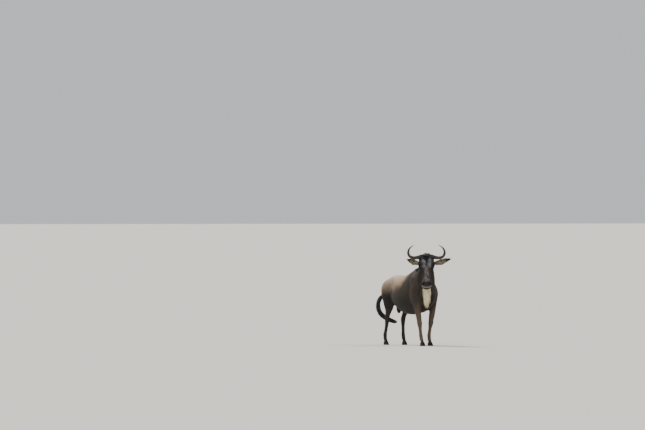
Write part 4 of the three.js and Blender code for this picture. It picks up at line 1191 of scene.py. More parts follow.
def mane_paths(section_at, count, first, last, slip, fall, rng):
    """The mane's locks: rooted along the crest, up and over it and down one side or the other."""
    place = first + (last - first) * rng.random(count)
    side = np.where(rng.random(count) < 0.5, -1.0, 1.0)
    clump = value_noise(np.stack((place * 9, side, 0 * place), -1), 0.25, 11)
    reach = (fall[0] + (fall[1] - fall[0]) * (place - first) / (last - first)) * (0.65 + 0.7 * clump)
    reach *= rng.uniform(0.8, 1.1, count)
    share = np.linspace(0, 1, 7)
    height = profile((0, 0.2, 0.5, 1), (-0.010, 0.014, 0.018, 0.007), share)[None, :]
    low = 0.22 if section_at is trunk_section else 0.55 + 0.45 * step_between(0.12, 0.50, place)[:, None]
    height = np.where(height > 0, height * low, height) * rng.uniform(0.8, 1.5, count)[:, None]
    start = rng.uniform(-0.10, 0.10, count)
    paths = over_form(section_at, place, slip * rng.uniform(0.4, 1.6, count), start, side * reach, height)
    return paths, unit(paths[:, 3] - section_at(place).centre)


def hanging_paths(roots, out, length, reach, rng, steps=7):
    """Locks that leave the skin outwards and hang: the way out grows fast and then stays, the way
    down grows evenly, and each lock drifts a little to one side."""
    share = np.linspace(0, 1, steps)[None, :, None]
    leave = 1 - np.exp(-6 * share)
    drift = rng.normal(0, 0.010, (len(roots), 1, 1)) * share
    sideways = np.cross(out, UP)[:, None, :]
    fall = length[:, None, None] * (0.10 * share + 0.90 * share ** 1.15)
    return (roots[:, None] + out[:, None] * (reach[:, None, None] * leave) + sideways * drift
            + sideways * 0.003 * np.sin(9 * share + rng.uniform(0, 6, (len(roots), 1, 1))) - fall * UP)


def beard_paths(count, length, rng):
    """The beard: roots down the throat, drawn to the animal's right by the turned head."""
    place = 0.34 + 0.58 * rng.random(count) ** 0.9
    angle = math.pi + BEARD_DRAWN + np.clip(rng.normal(0, 0.17, count), -0.38, 0.38)
    section = neck_section(place)
    roots = section_point(section, angle, np.full(count, -0.008))
    out = (section_point(section, angle, np.full(count, 0.01)) - section.centre) * (1, 1, 0)
    out = unit(0.4 * unit(out) + FRONT)
    reach = 0.046 - 0.024 * (place - 0.34) / 0.58 + rng.uniform(-0.006, 0.010, count)
    own = length * rng.uniform(0.62, 1.05, count) * (1 - 0.35 * np.abs(angle - math.pi - BEARD_DRAWN))
    return hanging_paths(roots, out, own, reach, rng), out


BREAST = np.array((-0.090, -0.290, 0.832))


def breast_paths(count, length, rng):
    """The beard's lowest locks, from the front of the breast."""
    roots = BREAST + rng.uniform((-0.028, 0.006, -0.040), (0.028, 0.012, 0.050), (count, 3))
    out = unit(FRONT + LEFT * ((roots[:, :1] - BREAST[0]) * 4))
    own = length * rng.uniform(0.70, 1.04, count) * (1 - 7.0 * np.abs(roots[:, 0] - BREAST[0]))
    return hanging_paths(roots, out, own, rng.uniform(0.012, 0.034, count), rng), out


def chin_paths(count, length, rng):
    """Short hair along the underside of the jaw, from behind the chin to the throat."""
    along = 0.17 + 0.375 * rng.random(count) ** 1.1
    jaw = np.interp(along, HEAD[:, 0], HEAD[:, 3])
    out = np.clip(rng.normal(0, 0.020, count), -0.040, 0.040)
    roots = head_point(along, jaw + 0.010 + 4.0 * out ** 2, out)
    way = unit(-HEAD_TOP * (1, 1, 0) + 0.35 * rng.normal(size=(count, 3)))
    clump = value_noise(np.stack((along, 0 * along, np.sign(out)), -1), 0.022, 19)
    own = length * rng.uniform(0.4, 1.05, count) * (0.65 + 0.6 * clump) * (1.35 - 2.8 * (along - 0.17))
    return hanging_paths(roots, way, own, rng.uniform(0.006, 0.022, count), rng), unit(
        HEAD_LEFT + 0.3 * rng.normal(size=(count, 3)))


def forelock_paths(count, length, rng):
    """The forelock: from the poll down the forehead between the horns, close to the face. It is
    longest on the middle line, and its locks gather into clumps that wander to either side."""
    along = 0.070 * rng.random(count) ** 1.3
    out = np.clip(rng.normal(0, 0.018, count), -0.046, 0.046)
    own = length * rng.uniform(0.35, 1.10, count) * (1.2 - 16.0 * np.abs(out))
    share = np.linspace(0, 1, 7)[None, :]
    forward = along[:, None] + own[:, None] * share
    line = np.interp(forward, HEAD[:, 0], HEAD[:, 1])
    clump = np.round(out / 0.012) * 0.012
    aside = 0.016 * (value_noise(np.stack((clump, 0 * clump, 0 * clump), -1), 0.013, 17) - 0.5)
    gathered = 0.45 * (clump - out) + aside + rng.normal(0, 0.003, count)
    spread = out[:, None] + gathered[:, None] * share ** 1.3
    height = profile((0, 0.25, 0.6, 1), (-0.008, 0.011, 0.012, 0.004), share)
    tousled = rng.random(count) < 0.22 * (along < 0.03)
    height = height * np.where(tousled, rng.uniform(1.6, 3.2, count), rng.uniform(0.5, 1.5, count))[:, None]
    spread = spread + (tousled * rng.normal(0, 0.022, count))[:, None] * share
    paths = head_point(forward, line + height - 5.0 * spread ** 2, spread)
    return paths, np.broadcast_to(HEAD_TOP, (count, 3))


def tail_paths(count, rng):
    """The tail's hair: rooted round the core, along its curve, out to its reach and to points."""
    start = 0.17 + 0.62 * rng.random(count) ** 0.9
    run = np.minimum(rng.uniform(0.20, 0.34, count), (1.0 - start) * rng.uniform(0.70, 1.0, count))
    angle = rng.uniform(0, 2 * math.pi, count)
    share = np.linspace(0, 1, 8)[None, :]
    place = start[:, None] + run[:, None] * share
    reach = profile((0, 0.2, 0.4, 0.7, 0.9, 1), (0.014, 0.022, 0.034, 0.039, 0.036, 0.021), place)
    swell = profile((0, 0.3, 1), (0.15, 0.92, 0.85), share) * rng.uniform(0.35, 1.05, count)[:, None]
    line = tube_section_of(TAIL, lambda t: 0 * t)(place)
    turned = angle[:, None] + 0.5 * share
    out = np.sin(turned)[..., None] * line.across + np.cos(turned)[..., None] * line.up
    paths = line.centre + out * (reach * swell)[..., None]
    return paths, out[:, 0]


def ear_fringe_paths(side, count, length, rng):
    """Pale hair at an ear's root and along its lower rim, lying out along the ear."""
    root, _, ear_length, along = ear_line(side)
    facing, wide = ear_ways(side, along)
    t = 0.66 * rng.random(count) ** 2.0
    half = ear_half_width(t)
    edge = np.where(rng.random(count) < 0.6, -1.0, 1.0) * np.sign(wide[2])
    roots = root + (t * ear_length)[:, None] * along
    roots = roots + wide * (edge * half * rng.uniform(0.12, 0.94, count))[:, None] + facing * 0.003
    own = length * rng.uniform(0.4, 1.0, count) * (1 - 0.8 * t)
    share = np.linspace(0, 1, 5)[None, :, None]
    inward = -wide * (edge * 0.25)[:, None]
    way = unit(along + 0.14 * rng.normal(size=(count, 3)) + inward)
    paths = roots[:, None] + way[:, None] * (own[:, None, None] * share)
    paths = paths + facing * (0.006 * np.sin(2.4 * share))
    return paths, np.broadcast_to(facing, (count, 3))


def horn_shape(sign):
    """A horn: a round tube along its line, with low ridges at its base that fade to a smooth tip."""
    line = beside_head(sign * HORN[:, 0], HORN[:, 1], HORN[:, 2])

    def radius(t):
        plain = curve_through(HORN[:, 3:], t)[..., 0]
        ridges = 0.022 * np.sin(2 * math.pi * 26 * t) * (1 - step_between(0.22, 0.50, t))
        return plain * (1 + ridges * step_between(0.02, 0.10, t))

    points, triangles = loft(tube_section_of(line, radius, HORN_FLATTEN), 150, 36)
    t = np.append(np.repeat(np.linspace(0, 1, 150), 36), (0, 1))
    turn = np.append(np.tile(np.linspace(0, 2 * math.pi, 36, endpoint=False), 150), (0, 0))
    grain = np.stack((0.022 * np.cos(turn), 0.022 * np.sin(turn), 0.035 * t), axis=-1)
    return points, triangles, t, grain


def claw_shape(side, rows, spread, rings=34, sides=40):
    """One claw: outlines stacked from the sole up, whose toe draws back evenly. The wall bears
    faint rings, its top edge slopes down towards the heel, and a soft dome closes it."""
    out, back = rows[-1, 1:3]
    t = np.linspace(0, 1, rings)[:, None]
    toe = HOOF_TOE * (1 - 0.54 * np.minimum(t / 0.88, 1))
    heel = HOOF_HEEL * (1 - 0.14 * np.minimum(t / 0.88, 1))
    ring = 1 + 0.004 * np.sin(2 * math.pi * 8 * t) * step_between(0.08, 0.3, t)
    ring = ring * np.sqrt(1 - 0.9 * np.clip((t - 0.88) / 0.12, 0, 1) ** 2)
    ring = ring * (0.95 + 0.05 * step_between(0.0, 0.07, t))
    reach = (toe + heel) / 2 * ring
    half = (CLAW_HALF - 0.002 * t) * ring
    centre = np.stack((side * out + spread * CLAW_SPREAD + 0 * t, back - (toe - heel) / 2,
                       HOOF_HEIGHT * t), axis=-1)
    section = Section(centre, LEFT, FRONT, half, reach, reach, 1.8 + 0 * t, 2.5 + 0 * t)
    angle = np.linspace(0, 2 * math.pi, sides, endpoint=False)[None, :]
    points = np.concatenate((section_point(section, angle).reshape(-1, 3), centre[0], centre[-1]))
    behind = np.clip((points[:, 1] - back + HOOF_TOE) / (HOOF_TOE + HOOF_HEEL), 0, 1)
    points[:, 2] *= 1 - 0.17 * behind
    return points, outward(points, grid_triangles(rings, sides))


def eye_shape(side):
    """An eyeball with a cornea: a sphere that swells a little round the way it looks. Colours:
    an oval pupil along the slit, a dark brown iris with a darker ring, and a dusky white."""
    axes = np.array(eye_axes(side))
    points, triangles = ellipsoid(np.zeros(3), axes, np.full(3, EYE_RADIUS), 46, 64)
    local = points @ axes.T
    off = np.arccos(np.clip(local[:, 2] / EYE_RADIUS, -1, 1))
    points = points * (1 + 0.05 * np.exp(-(off / 0.42) ** 4))[:, None]
    pupil = 1 - step_between(0.85, 1.0, np.hypot(local[:, 0] / 0.0085, local[:, 1] / 0.0042))
    iris = 1 - step_between(0.66, 0.72, off)
    ring = hump(off, 0.66, 0.06)
    return EYE_PLACES[side] + points, triangles, pupil, iris, ring


def over_eye(side, x, y, gap):
    """Points a gap off an eyeball, at places along its slit and across it."""
    slit, across, look = eye_axes(side)
    z = np.sqrt((EYE_RADIUS + gap) ** 2 - x ** 2 - y ** 2)
    return EYE_PLACES[side] + x[:, None] * slit + y[:, None] * across + z[:, None] * look


def lash_paths(side, count, rng):
    """Lashes: rooted along the upper lid's edge, out from the ball and bent towards the brow."""
    slit, across, _ = eye_axes(side)
    x = rng.uniform(-0.85, 0.75, count) * SLIT_HALF
    roots = over_eye(side, x, slit_edge(x) + 0.0006, 0.0014)
    out = unit(roots - EYE_PLACES[side])
    own = rng.uniform(0.006, 0.012, count)[:, None, None]
    share = np.linspace(0, 1, 5)[None, :, None]
    lean = (0.5 * (x / SLIT_HALF) + rng.normal(0, 0.12, count))[:, None, None] * slit
    return roots[:, None] + own * share * (out[:, None] + lean + 0.7 * share * across), out


def lid_shape(side, turns=72, sides=10):
    """The rims of both lids: a thin tube round the almond edge of the opening, on the eyeball."""
    angle = np.linspace(0, 2 * math.pi, turns, endpoint=False)
    x = SLIT_HALF * np.cos(angle)
    y = np.sign(np.sin(angle)) * slit_edge(x)
    line = over_eye(side, x, y, 0.0010)
    way = unit(np.roll(line, -1, axis=0) - np.roll(line, 1, axis=0))
    out = unit(line - EYE_PLACES[side])
    wide = np.cross(way, out)
    turn = np.linspace(0, 2 * math.pi, sides, endpoint=False)[None, :, None]
    thick = (0.0015 + 0.0008 * np.clip(y / SLIT_RISE, 0, 1))[:, None, None]
    points = line[:, None] + thick * (np.cos(turn) * wide[:, None] + 0.8 * np.sin(turn) * out[:, None])
    i, j = np.meshgrid(np.arange(turns), np.arange(sides), indexing="ij")
    a, b = i * sides + j, i * sides + (j + 1) % sides
    c, d = ((i + 1) % turns) * sides + (j + 1) % sides, ((i + 1) % turns) * sides + j
    triangles = np.stack((a, b, c, a, c, d), axis=-1).reshape(-1, 3)
    points = points.reshape(-1, 3)
    return points, outward(points, triangles)


def add(tree, kind, inputs=(), outputs=(), **settings):
    """Adds a node with its settings. An input is given a number, a colour or another node's
    output, and an output the input that it goes to."""
    node = tree.nodes.new(kind)
    for name, value in settings.items():
        setattr(node, name, value)
    for name, value in dict(inputs).items():
        if isinstance(value, bpy.types.NodeSocket):
            tree.links.new(value, node.inputs[name])
        else:
            node.inputs[name].default_value = value
    for name, target in dict(outputs).items():
        tree.links.new(node.outputs[name], target)
    return node


def new_material(name, surface):
    """A material with one principled shader, whose plain values are set on its own sockets."""
    material = bpy.data.materials.new(name)
    material.use_nodes = True
    tree = material.node_tree
    shader = tree.nodes["Principled BSDF"]
    for key, value in surface.items():
        shader.inputs[key].default_value = value
    return material, tree, shader


def hide_material():
    """Short sleek coat over hide: matt, with streaks along its lie. Hairs 0.06 mm thick lie in
    locks about 3 mm wide and 22 mm long, drawn at that size; bare skin is smoother and pored."""
    material, tree, shader = new_material("short_sleek_antelope_coat", {
        "Specular IOR Level": 0.25, "Sheen Weight": 0.08, "Sheen Roughness": 0.5})
    colour = add(tree, "ShaderNodeAttribute", attribute_name="coat_colour")
    bare = add(tree, "ShaderNodeAttribute", attribute_name="bare")
    lie = add(tree, "ShaderNodeUVMap", uv_map="lie")
    # Locks of hair catch the light one by one, so the coat reads as combed and not as painted.
    place = add(tree, "ShaderNodeMapping", {"Vector": lie.outputs[0], "Scale": (1 / 0.003, 1 / 0.022, 1)})
    streaks = add(tree, "ShaderNodeTexNoise", {"Vector": place.outputs[0], "Scale": 1.0, "Detail": 3.0})
    tone = add(tree, "ShaderNodeMapRange", {
        "Value": streaks.outputs["Fac"], "To Min": 0.72, "To Max": 1.28})
    add(tree, "ShaderNodeVectorMath", {0: colour.outputs["Color"], 1: tone.outputs[0]},
        {0: shader.inputs["Base Color"]}, operation="MULTIPLY")
    # Pores 2.2 mm apart break up the light on the bare nose and lips.
    coords = add(tree, "ShaderNodeTexCoord")
    pores = add(tree, "ShaderNodeTexVoronoi", {"Vector": coords.outputs["Object"], "Scale": 1 / 0.0022})
    height = add(tree, "ShaderNodeMix", {
        "Factor": bare.outputs["Fac"], "A": streaks.outputs["Fac"], "B": pores.outputs["Distance"]})
    add(tree, "ShaderNodeBump", {"Height": height.outputs[0], "Strength": 0.55, "Distance": 0.0016},
        {0: shader.inputs["Normal"]})
    # Bare skin is damp and smooth: it holds a soft highlight that the coat does not.
    add(tree, "ShaderNodeMapRange", {"Value": bare.outputs["Fac"], "To Min": 0.66, "To Max": 0.38},
        {0: shader.inputs["Roughness"]})
    return material


def hair_material(name, roughness, sheen, streak):
    """Hair: the locks' own colours, broken by streaks of a clump's width along the body."""
    material, tree, shader = new_material(name, {
        "Roughness": roughness, "Specular IOR Level": 0.3, "Sheen Weight": sheen, "Sheen Roughness": 0.45})
    colour = add(tree, "ShaderNodeAttribute", attribute_name="coat_colour")
    coords = add(tree, "ShaderNodeTexCoord")
    # Clumps differ a little in dust and grease, so neighbours part from each other to the eye.
    place = add(tree, "ShaderNodeMapping", {
        "Vector": coords.outputs["Object"], "Scale": (1 / streak, 1 / streak, 0.18 / streak)})
    strands = add(tree, "ShaderNodeTexNoise", {"Vector": place.outputs[0], "Scale": 1.0, "Detail": 2.0})
    tone = add(tree, "ShaderNodeMapRange", {
        "Value": strands.outputs["Fac"], "To Min": 0.62, "To Max": 1.38})
    add(tree, "ShaderNodeVectorMath", {0: colour.outputs["Color"], 1: tone.outputs[0]},
        {0: shader.inputs["Base Color"]}, operation="MULTIPLY")
    # Single hairs stand out of each lock as fine lines.
    add(tree, "ShaderNodeBump", {"Height": strands.outputs["Fac"], "Strength": 0.4, "Distance": 0.001},
        {0: shader.inputs["Normal"]})
    return material


def keratin_material(name, roughness, grain):
    """Horn keratin: layered and fibrous, with fibres a grain wide that run along it, and blotches
    of wear thirty grains across. The attribute grain holds each point's place in the fibres."""
    material, tree, shader = new_material(name, {"Specular IOR Level": 0.32})
    colour = add(tree, "ShaderNodeAttribute", attribute_name="coat_colour")
    inside = add(tree, "ShaderNodeAttribute", attribute_name="grain")
    # Fibres give fine streaks from base to tip, as horn has where its layers are worn through.
    fibres = add(tree, "ShaderNodeTexNoise", {
        "Vector": inside.outputs["Vector"], "Scale": 1 / grain, "Detail": 4.0, "Roughness": 0.65})
    add(tree, "ShaderNodeBump", {"Height": fibres.outputs["Fac"], "Strength": 0.6, "Distance": 0.001},
        {0: shader.inputs["Normal"]})
    # Wear leaves some places polished and others dull and paler.
    coords = add(tree, "ShaderNodeTexCoord")
    wear = add(tree, "ShaderNodeTexNoise", {
        "Vector": coords.outputs["Object"], "Scale": 1 / (30 * grain), "Detail": 3.0, "Roughness": 0.6})
    both = add(tree, "ShaderNodeMath", {0: fibres.outputs["Fac"], 1: wear.outputs["Fac"]}, operation="ADD")
    tone = add(tree, "ShaderNodeMapRange", {
        "Value": both.outputs[0], "From Min": 0.6, "From Max": 1.4, "To Min": 0.6, "To Max": 1.4})
    add(tree, "ShaderNodeVectorMath", {0: colour.outputs["Color"], 1: tone.outputs[0]},
        {0: shader.inputs["Base Color"]}, operation="MULTIPLY")
    add(tree, "ShaderNodeMapRange", {
        "Value": both.outputs[0], "From Min": 0.6, "From Max": 1.4, "To Min": roughness - 0.14,
        "To Max": roughness + 0.2}, {0: shader.inputs["Roughness"]})
    return material


def eye_material():
    """A wet eye: dark, smooth and clear coated, so it holds one sharp light."""
    material, tree, shader = new_material("wet_cornea", {
        "Roughness": 0.16, "IOR": 1.38, "Specular IOR Level": 0.2, "Coat Weight": 0.4,
        "Coat Roughness": 0.03})
    colour = add(tree, "ShaderNodeAttribute", attribute_name="coat_colour")
    coords = add(tree, "ShaderNodeTexCoord")
    # Fibres of the iris and veins of the white, 1.5 mm apart, keep the ball from looking painted.
    veins = add(tree, "ShaderNodeTexNoise", {"Vector": coords.outputs["Object"], "Scale": 1 / 0.0015})
    tone = add(tree, "ShaderNodeMapRange", {"Value": veins.outputs["Fac"], "To Min": 0.8, "To Max": 1.2})
    add(tree, "ShaderNodeVectorMath", {0: colour.outputs["Color"], 1: tone.outputs[0]},
        {0: shader.inputs["Base Color"]}, operation="MULTIPLY")
    return material


def floor_material(colour):
    """Pale matt studio floor, painted, with a faint mottle 60 mm across, as rolled paint has."""
    material, tree, shader = new_material("matt_painted_floor", {
        "Roughness": 0.9, "Specular IOR Level": 0.2})
    coords = add(tree, "ShaderNodeTexCoord")
    mottle = add(tree, "ShaderNodeTexNoise", {"Vector": coords.outputs["Object"], "Scale": 1 / 0.06})
    dark, light = ((*(np.array(colour) * share), 1) for share in (0.98, 1.02))
    add(tree, "ShaderNodeMix", {0: mottle.outputs["Fac"], 6: dark, 7: light},
        {2: shader.inputs["Base Color"]}, data_type="RGBA")
    return material


def length_property(name, description, default, **more):
    return FloatProperty(name=name, description=description, default=default, min=0.0,
                         subtype="DISTANCE", unit="LENGTH", precision=4, **more)


def colour_property(name, description, text):
    return FloatVectorProperty(name=name, description=description, default=srgb(text), subtype="COLOR",
                               size=3, min=0.0, max=1.0)


class WildebeestColours(bpy.types.PropertyGroup):
    """The animal's colours."""
    # Partly the flanks' grey-brown coat, partly painted shade: given darker, as the flanks lie in shade.
    side: colour_property("Side", "Grey-brown coat of the flanks", "#352b22")
    # Painted sunlight: the back, croup and rump are given paler because the sun falls on them.
    back: colour_property("Back", "Lighter coat of the back, croup and rump", "#a38c76")
    # Painted shade: the belly and the legs' inner sides are given near black as shade.
    belly: colour_property("Belly", "Dark coat of the belly and the legs' inner sides", "#120d09")
    # Painted shade: the thighs below the rump are given near black as shade.
    haunch: colour_property("Haunch", "Coat of the thighs", "#17110c")
    neck: colour_property("Neck", "Coat of the neck between its stripes", "#332b24")
    throat: colour_property("Throat", "Pale hide under the beard", "#8f7e62")
    stripe: colour_property("Stripe", "Brindled bands of neck and shoulder", "#0d0a08")
    # Partly the legs' grey-brown coat, partly painted light: the lower forelegs are given paler as lit.
    foreleg: colour_property("Foreleg", "Coat of the lower forelegs", "#54463a")
    # Painted shade: the lower hind legs are given darker as in shade.
    hindleg: colour_property("Hindleg", "Coat of the lower hind legs", "#261e18")
    face: colour_property("Face", "Black coat of the face", "#100d0c")
    cheek: colour_property("Cheek", "Dark grey-brown cheeks", "#2a221d")
    sheen: colour_property("Sheen", "Bluish grey gleam of the forehead and the nose", "#85858a")
    # Partly the bridge's grey-brown, mostly painted sheen: the face is near black in life.
    bridge: colour_property("Bridge", "Grey-brown bridge of the nose", "#7a6a60")
    lip: colour_property("Lip", "Pale grey lips", "#7a6f68")
    # Near black, both real (eye rims and lids, pupils, ear and horn tips, over the hooves) and painted
    # shade (nostrils, mouth, eye sockets).
    mouth: colour_property("Mouth", "Near black of nostrils, mouth and eye rims", "#0a0807")
    ear: colour_property("Ear", "Grey-brown coat of the ears", "#46392c")
    fringe: colour_property("Ear fringe", "Pale hair at the ears' roots", "#d3c5a2")
    mane: colour_property("Mane", "Black hair of mane, forelock and tail", "#0d0b0a")
    beard: colour_property("Beard", "Cream hair of the beard", "#f8ebcb")
    beard_tip: colour_property("Beard tips", "Dusty ends of the beard", "#e3d0a4")
    horn: colour_property("Horn", "Dark grey horn", "#120e0c")
    horn_worn: colour_property("Worn horn", "Paler worn horn on the outer bend", "#33291f")
    hoof: colour_property("Hoof", "Dark hoof", "#0d0a08")
    iris: colour_property("Iris", "Dark brown iris", "#241308")
    white: colour_property("White of the eye", "Dusky white of the eye", "#2e221b")
    floor: colour_property("Floor", "Pale studio floor", "#b9b6b0")


COLOURS = tuple(WildebeestColours.__annotations__)


class WildebeestSizes(bpy.types.PropertyGroup):
    """The sizes that a user would change."""
    voxel: length_property("Skin detail", "Spacing of the skin's points before the face is refined", 0.0084)
    coat_depth: length_property("Coat depth", "Depth of the coat on trunk and neck", 0.0045)
    face_depth: length_property("Short coat depth", "Depth of the coat on the face and legs", 0.0022)
    tuft_scale: FloatProperty(name="Tuft size", description="Size of the coat's tufts", default=1.0,
                              min=0.2, max=4.0, subtype="FACTOR")
    mane_locks: IntProperty(name="Mane locks", description="Locks in the mane", default=4300, min=10)
    beard_locks: IntProperty(name="Beard locks", description="Locks in the beard", default=3600, min=10)
    beard_length: length_property("Beard length", "Length of the beard's longest hair", 0.245)
    tail_locks: IntProperty(name="Tail locks", description="Locks in the tail", default=3400, min=10)
    forelock_length: length_property("Forelock length", "Length of the forelock's hair", 0.085)
    seed: IntProperty(name="Seed", description="Start of every random draw", default=7, min=0)


class WildebeestStage(bpy.types.PropertyGroup):
    """The studio round the animal."""
    lens: FloatProperty(name="Lens", description="Camera's focal length", default=357.2, unit="CAMERA")
    distance: length_property("Distance", "From the camera to the animal", 100.0)
    azimuth: FloatProperty(name="Azimuth", description="The view's turn from the animal's front",
                           default=math.radians(30), subtype="ANGLE")
    height: length_property("Eye level", "The camera's height over the floor", 2.1)


# The short coat's pieces: the parts they cover and on which side (0 for both), the number of
# tufts, and a tuft's length, width and lift. Hair is shortest on the face and the lower legs.
COATS = {
    "coat_trunk_left": (("trunk",), 1, 42500, 0.024, 0.0047, 0.11),
    "coat_trunk_right": (("trunk",), -1, 42500, 0.024, 0.0047, 0.11),
    "coat_neck": (("neck",), 0, 36000, 0.026, 0.0044, 0.13),
    "coat_head": (("head",), 0, 42000, 0.0105, 0.0023, 0.13),
    "coat_forelegs": (("foreleg_left", "foreleg_right"), 0, 40000, 0.016, 0.0032, 0.11),
    "coat_hindlegs": (("hindleg_left", "hindleg_right", "tail"), 0, 43000, 0.018, 0.0036, 0.11),
}


# Long hair: a lock's width and thickness, its colours at root and tip, and the piece's slot.
LONG_HAIR = {
    "mane": ((0.0075, 0.0035), ("mane", "mane"), "mane"),
    "beard": ((0.0085, 0.0035), ("beard", "beard_tip"), "beard"),
    "forelock": ((0.0036, 0.0022), ("mane", "face"), "mane"),
    "ear_fringe": ((0.0019, 0.0011), ("fringe", "ear"), "hide"),
    "tail_hair": ((0.0085, 0.004), ("mane", "mane"), "mane"),
}
# The neck's share of the mane, the shares of throat, breast and chin in the beard, the numbers of
# locks in the forelock and on each ear, and the number of lashes on each eye.
MANE_ON_NECK = 0.72
BEARD_SHARES = (0.68, 0.20, 0.12)
FORELOCK_LOCKS = 2300
FRINGE_LOCKS = 1050
LASHES = 130
# More triangles than this would make the skin too heavy.
SKIN_LIMIT = 199000

# Wide soft lights, far off so that the floor is even: place, apparent width in degrees, strength
# and tint. The strongest comes from above and behind, as the photograph's does.
STUDIO_LIGHTS = (
    ("above_behind", (-1.5, 4.5, 6.5), 16, 4.4, (1.0, 0.96, 0.91)),
    ("above_left", (5.0, -2.0, 7.0), 40, 1.4, (1.0, 0.98, 0.95)),
    ("front_fill", (-5.5, -6.5, 3.5), 60, 1.6, (0.95, 0.97, 1.0)),
)
# The sky's colour and strength, and how far the floor reaches on every side.
STUDIO_SKY = ((0.88, 0.90, 0.92, 1), 0.72)
FLOOR_REACH = 900.0


class WILDEBEEST_OT_stage(bpy.types.Operator):
    """Adds the pale floor, the soft lights and the camera at the photograph's angle"""
    bl_idname = "wildebeest.stage"
    bl_label = "Stage"

    def execute(self, context):
        stage = context.scene.wildebeest_stage
        colours = context.scene.wildebeest_colours
        corners = np.array(((-1, -1, 0), (1, -1, 0), (1, 1, 0), (-1, 1, 0))) * FLOOR_REACH
        mesh = mesh_from("floor", corners - SHIFT, np.array(((0, 1, 2), (0, 2, 3))))
        mesh.materials.append(floor_material(colours.floor))
        floor = bpy.data.objects.new("floor", mesh)
        context.scene.collection.objects.link(floor)
        for name, place, spread, power, tint in STUDIO_LIGHTS:
            lamp = bpy.data.lights.new(name, "SUN")
            lamp.angle, lamp.energy, lamp.color = math.radians(spread), power, tint
            light = bpy.data.objects.new(name, lamp)
            context.scene.collection.objects.link(light)
            light.location = place
            light.rotation_euler = (math.atan2(math.hypot(*place[:2]), place[2]), 0,
                                    math.atan2(place[0], -place[1]))
        world = bpy.data.worlds.new("studio")
        world.use_nodes = True
        sky = world.node_tree.nodes["Background"]
        sky.inputs["Color"].default_value, sky.inputs["Strength"].default_value = STUDIO_SKY
        context.scene.world = world
        self.aim_camera(context, stage)
        return {"FINISHED"}

    def aim_camera(self, context, stage):
        """Stands the camera level with the photograph's horizon and frames the animal as there."""
        photo_width, photo_height, sensor = 645, 430, 36.0
        pixels_a_metre = stage.lens / sensor * photo_width / stage.distance
        landmark = np.array((-0.17, -0.43, 0.0)) + SHIFT
        landmark_pixel, horizon_pixel = 426.5, 212
        way = np.array((math.sin(stage.azimuth), math.cos(stage.azimuth), 0.0))
        right = np.array((way[1], -way[0], 0.0))
        aside = (photo_width / 2 - landmark_pixel) / pixels_a_metre
        centre = landmark + right * aside
        drop = (photo_height / 2 - horizon_pixel) / pixels_a_metre / stage.distance
        data = bpy.data.cameras.new("camera")
        data.lens, data.sensor_width = stage.lens, sensor
        data.clip_start, data.clip_end = 1.0, 4000.0
        camera = bpy.data.objects.new("camera", data)
        context.scene.collection.objects.link(camera)
        camera.location = centre - way * stage.distance + UP * stage.height
        camera.rotation_euler = (math.pi / 2 - drop, 0, -stage.azimuth)
        context.scene.camera = camera


class WILDEBEEST_OT_skin(bpy.types.Operator):
    """Builds the one skin of the body with its ears, eye openings, folds and markings"""
    bl_idname = "wildebeest.skin"
    bl_label = "Skin"

    def execute(self, context):
        sizes = context.scene.wildebeest_sizes
        points, triangles = skin_surface(sizes.voxel, sizes.coat_depth, sizes.face_depth)
        if len(triangles) > SKIN_LIMIT:
            raise RuntimeError(f"the skin has {len(triangles)} triangles: make its detail coarser")
        reading = read_animal(points)
        mesh = mesh_from("skin", points, triangles)
        paint(mesh, markings(reading))
        bare = mesh.attributes.new("bare", "FLOAT", "POINT")
        bare.data.foreach_set("value", bare_share(reading).astype(np.float32))
        write_map(mesh, "lie", lie_map(reading)[corner_points(mesh)])
        finish_piece("skin", mesh, hide_material(), (
            "head", "neck", "torso", "tail_dock", "scrotum", "ear_left", "ear_right", *LEGS))
        return {"FINISHED"}


class WILDEBEEST_OT_coat(bpy.types.Operator):
    """Covers the skin with short flat tufts that follow the lie of the coat"""
    bl_idname = "wildebeest.coat"
    bl_label = "Short coat"

    def execute(self, context):
        sizes = context.scene.wildebeest_sizes
        rng = np.random.default_rng(sizes.seed)
        points, triangles = read_mesh(bpy.data.objects["skin"].data)
        normals = point_normals(points, triangles)
        reading = read_animal(points)
        ears = ear_share(reading)
        flow = reading.flow.copy()
        for side in EARS:
            _, away, along = ear_reading(points, side)
            flow = np.where(((ears > 0.5) & (away < EAR_REACH))[:, None], along, flow)
        colours = markings(reading)
        hairy = 1 - bare_share(reading)
        size = profile((0, 0.12, 0.5, 0.8, 1.3), (0.55, 0.6, 0.8, 1.0, 1.0), points[:, 2])
        size = np.where(ears > 0.5, 0.7, size)
        for place in EYE_PLACES.values():
            size = size * (0.5 + 0.5 * step_between(0.022, 0.055, np.linalg.norm(points - place, axis=1)))
        size = size * sizes.tuft_scale
        nearest = reading.gap.argmin(1)
        material = hair_material("short_antelope_guard_hair", 0.60, 0.06, 0.004)
        for name, (parts, half, count, length, width, lift) in COATS.items():
            own = np.isin(nearest, [COLUMN[part] for part in parts])
            own = own & (points[:, 0] * half >= 0) if half else own
            weight = (own * hairy / size ** 2)[triangles].mean(1)
            index, share = scatter(points, triangles, weight, count, rng)
            corners = triangles[index]
            root, normal, lie, colour = (np.einsum("nk,nkc->nc", share, values[corners])
                                         for values in (points, normals, flow, colours))
            normal = unit(normal)
            lie = lie + 0.22 * rng.normal(size=lie.shape)
            lie = unit(lie - np.sum(lie * normal, axis=1, keepdims=True) * normal)
            own_size = np.einsum("nk,nk->n", share, size[corners]) * rng.uniform(0.7, 1.2, len(root))
            colour = colour * (1 + 0.30 * (rng.random((len(root), 1)) - 0.45))
            mesh = tufts(name, root, normal, lie, colour, length * own_size, width * own_size,
                         lift * rng.uniform(0.4, 1.5, len(root)))
            finish_piece(name, mesh, material)
        return {"FINISHED"}


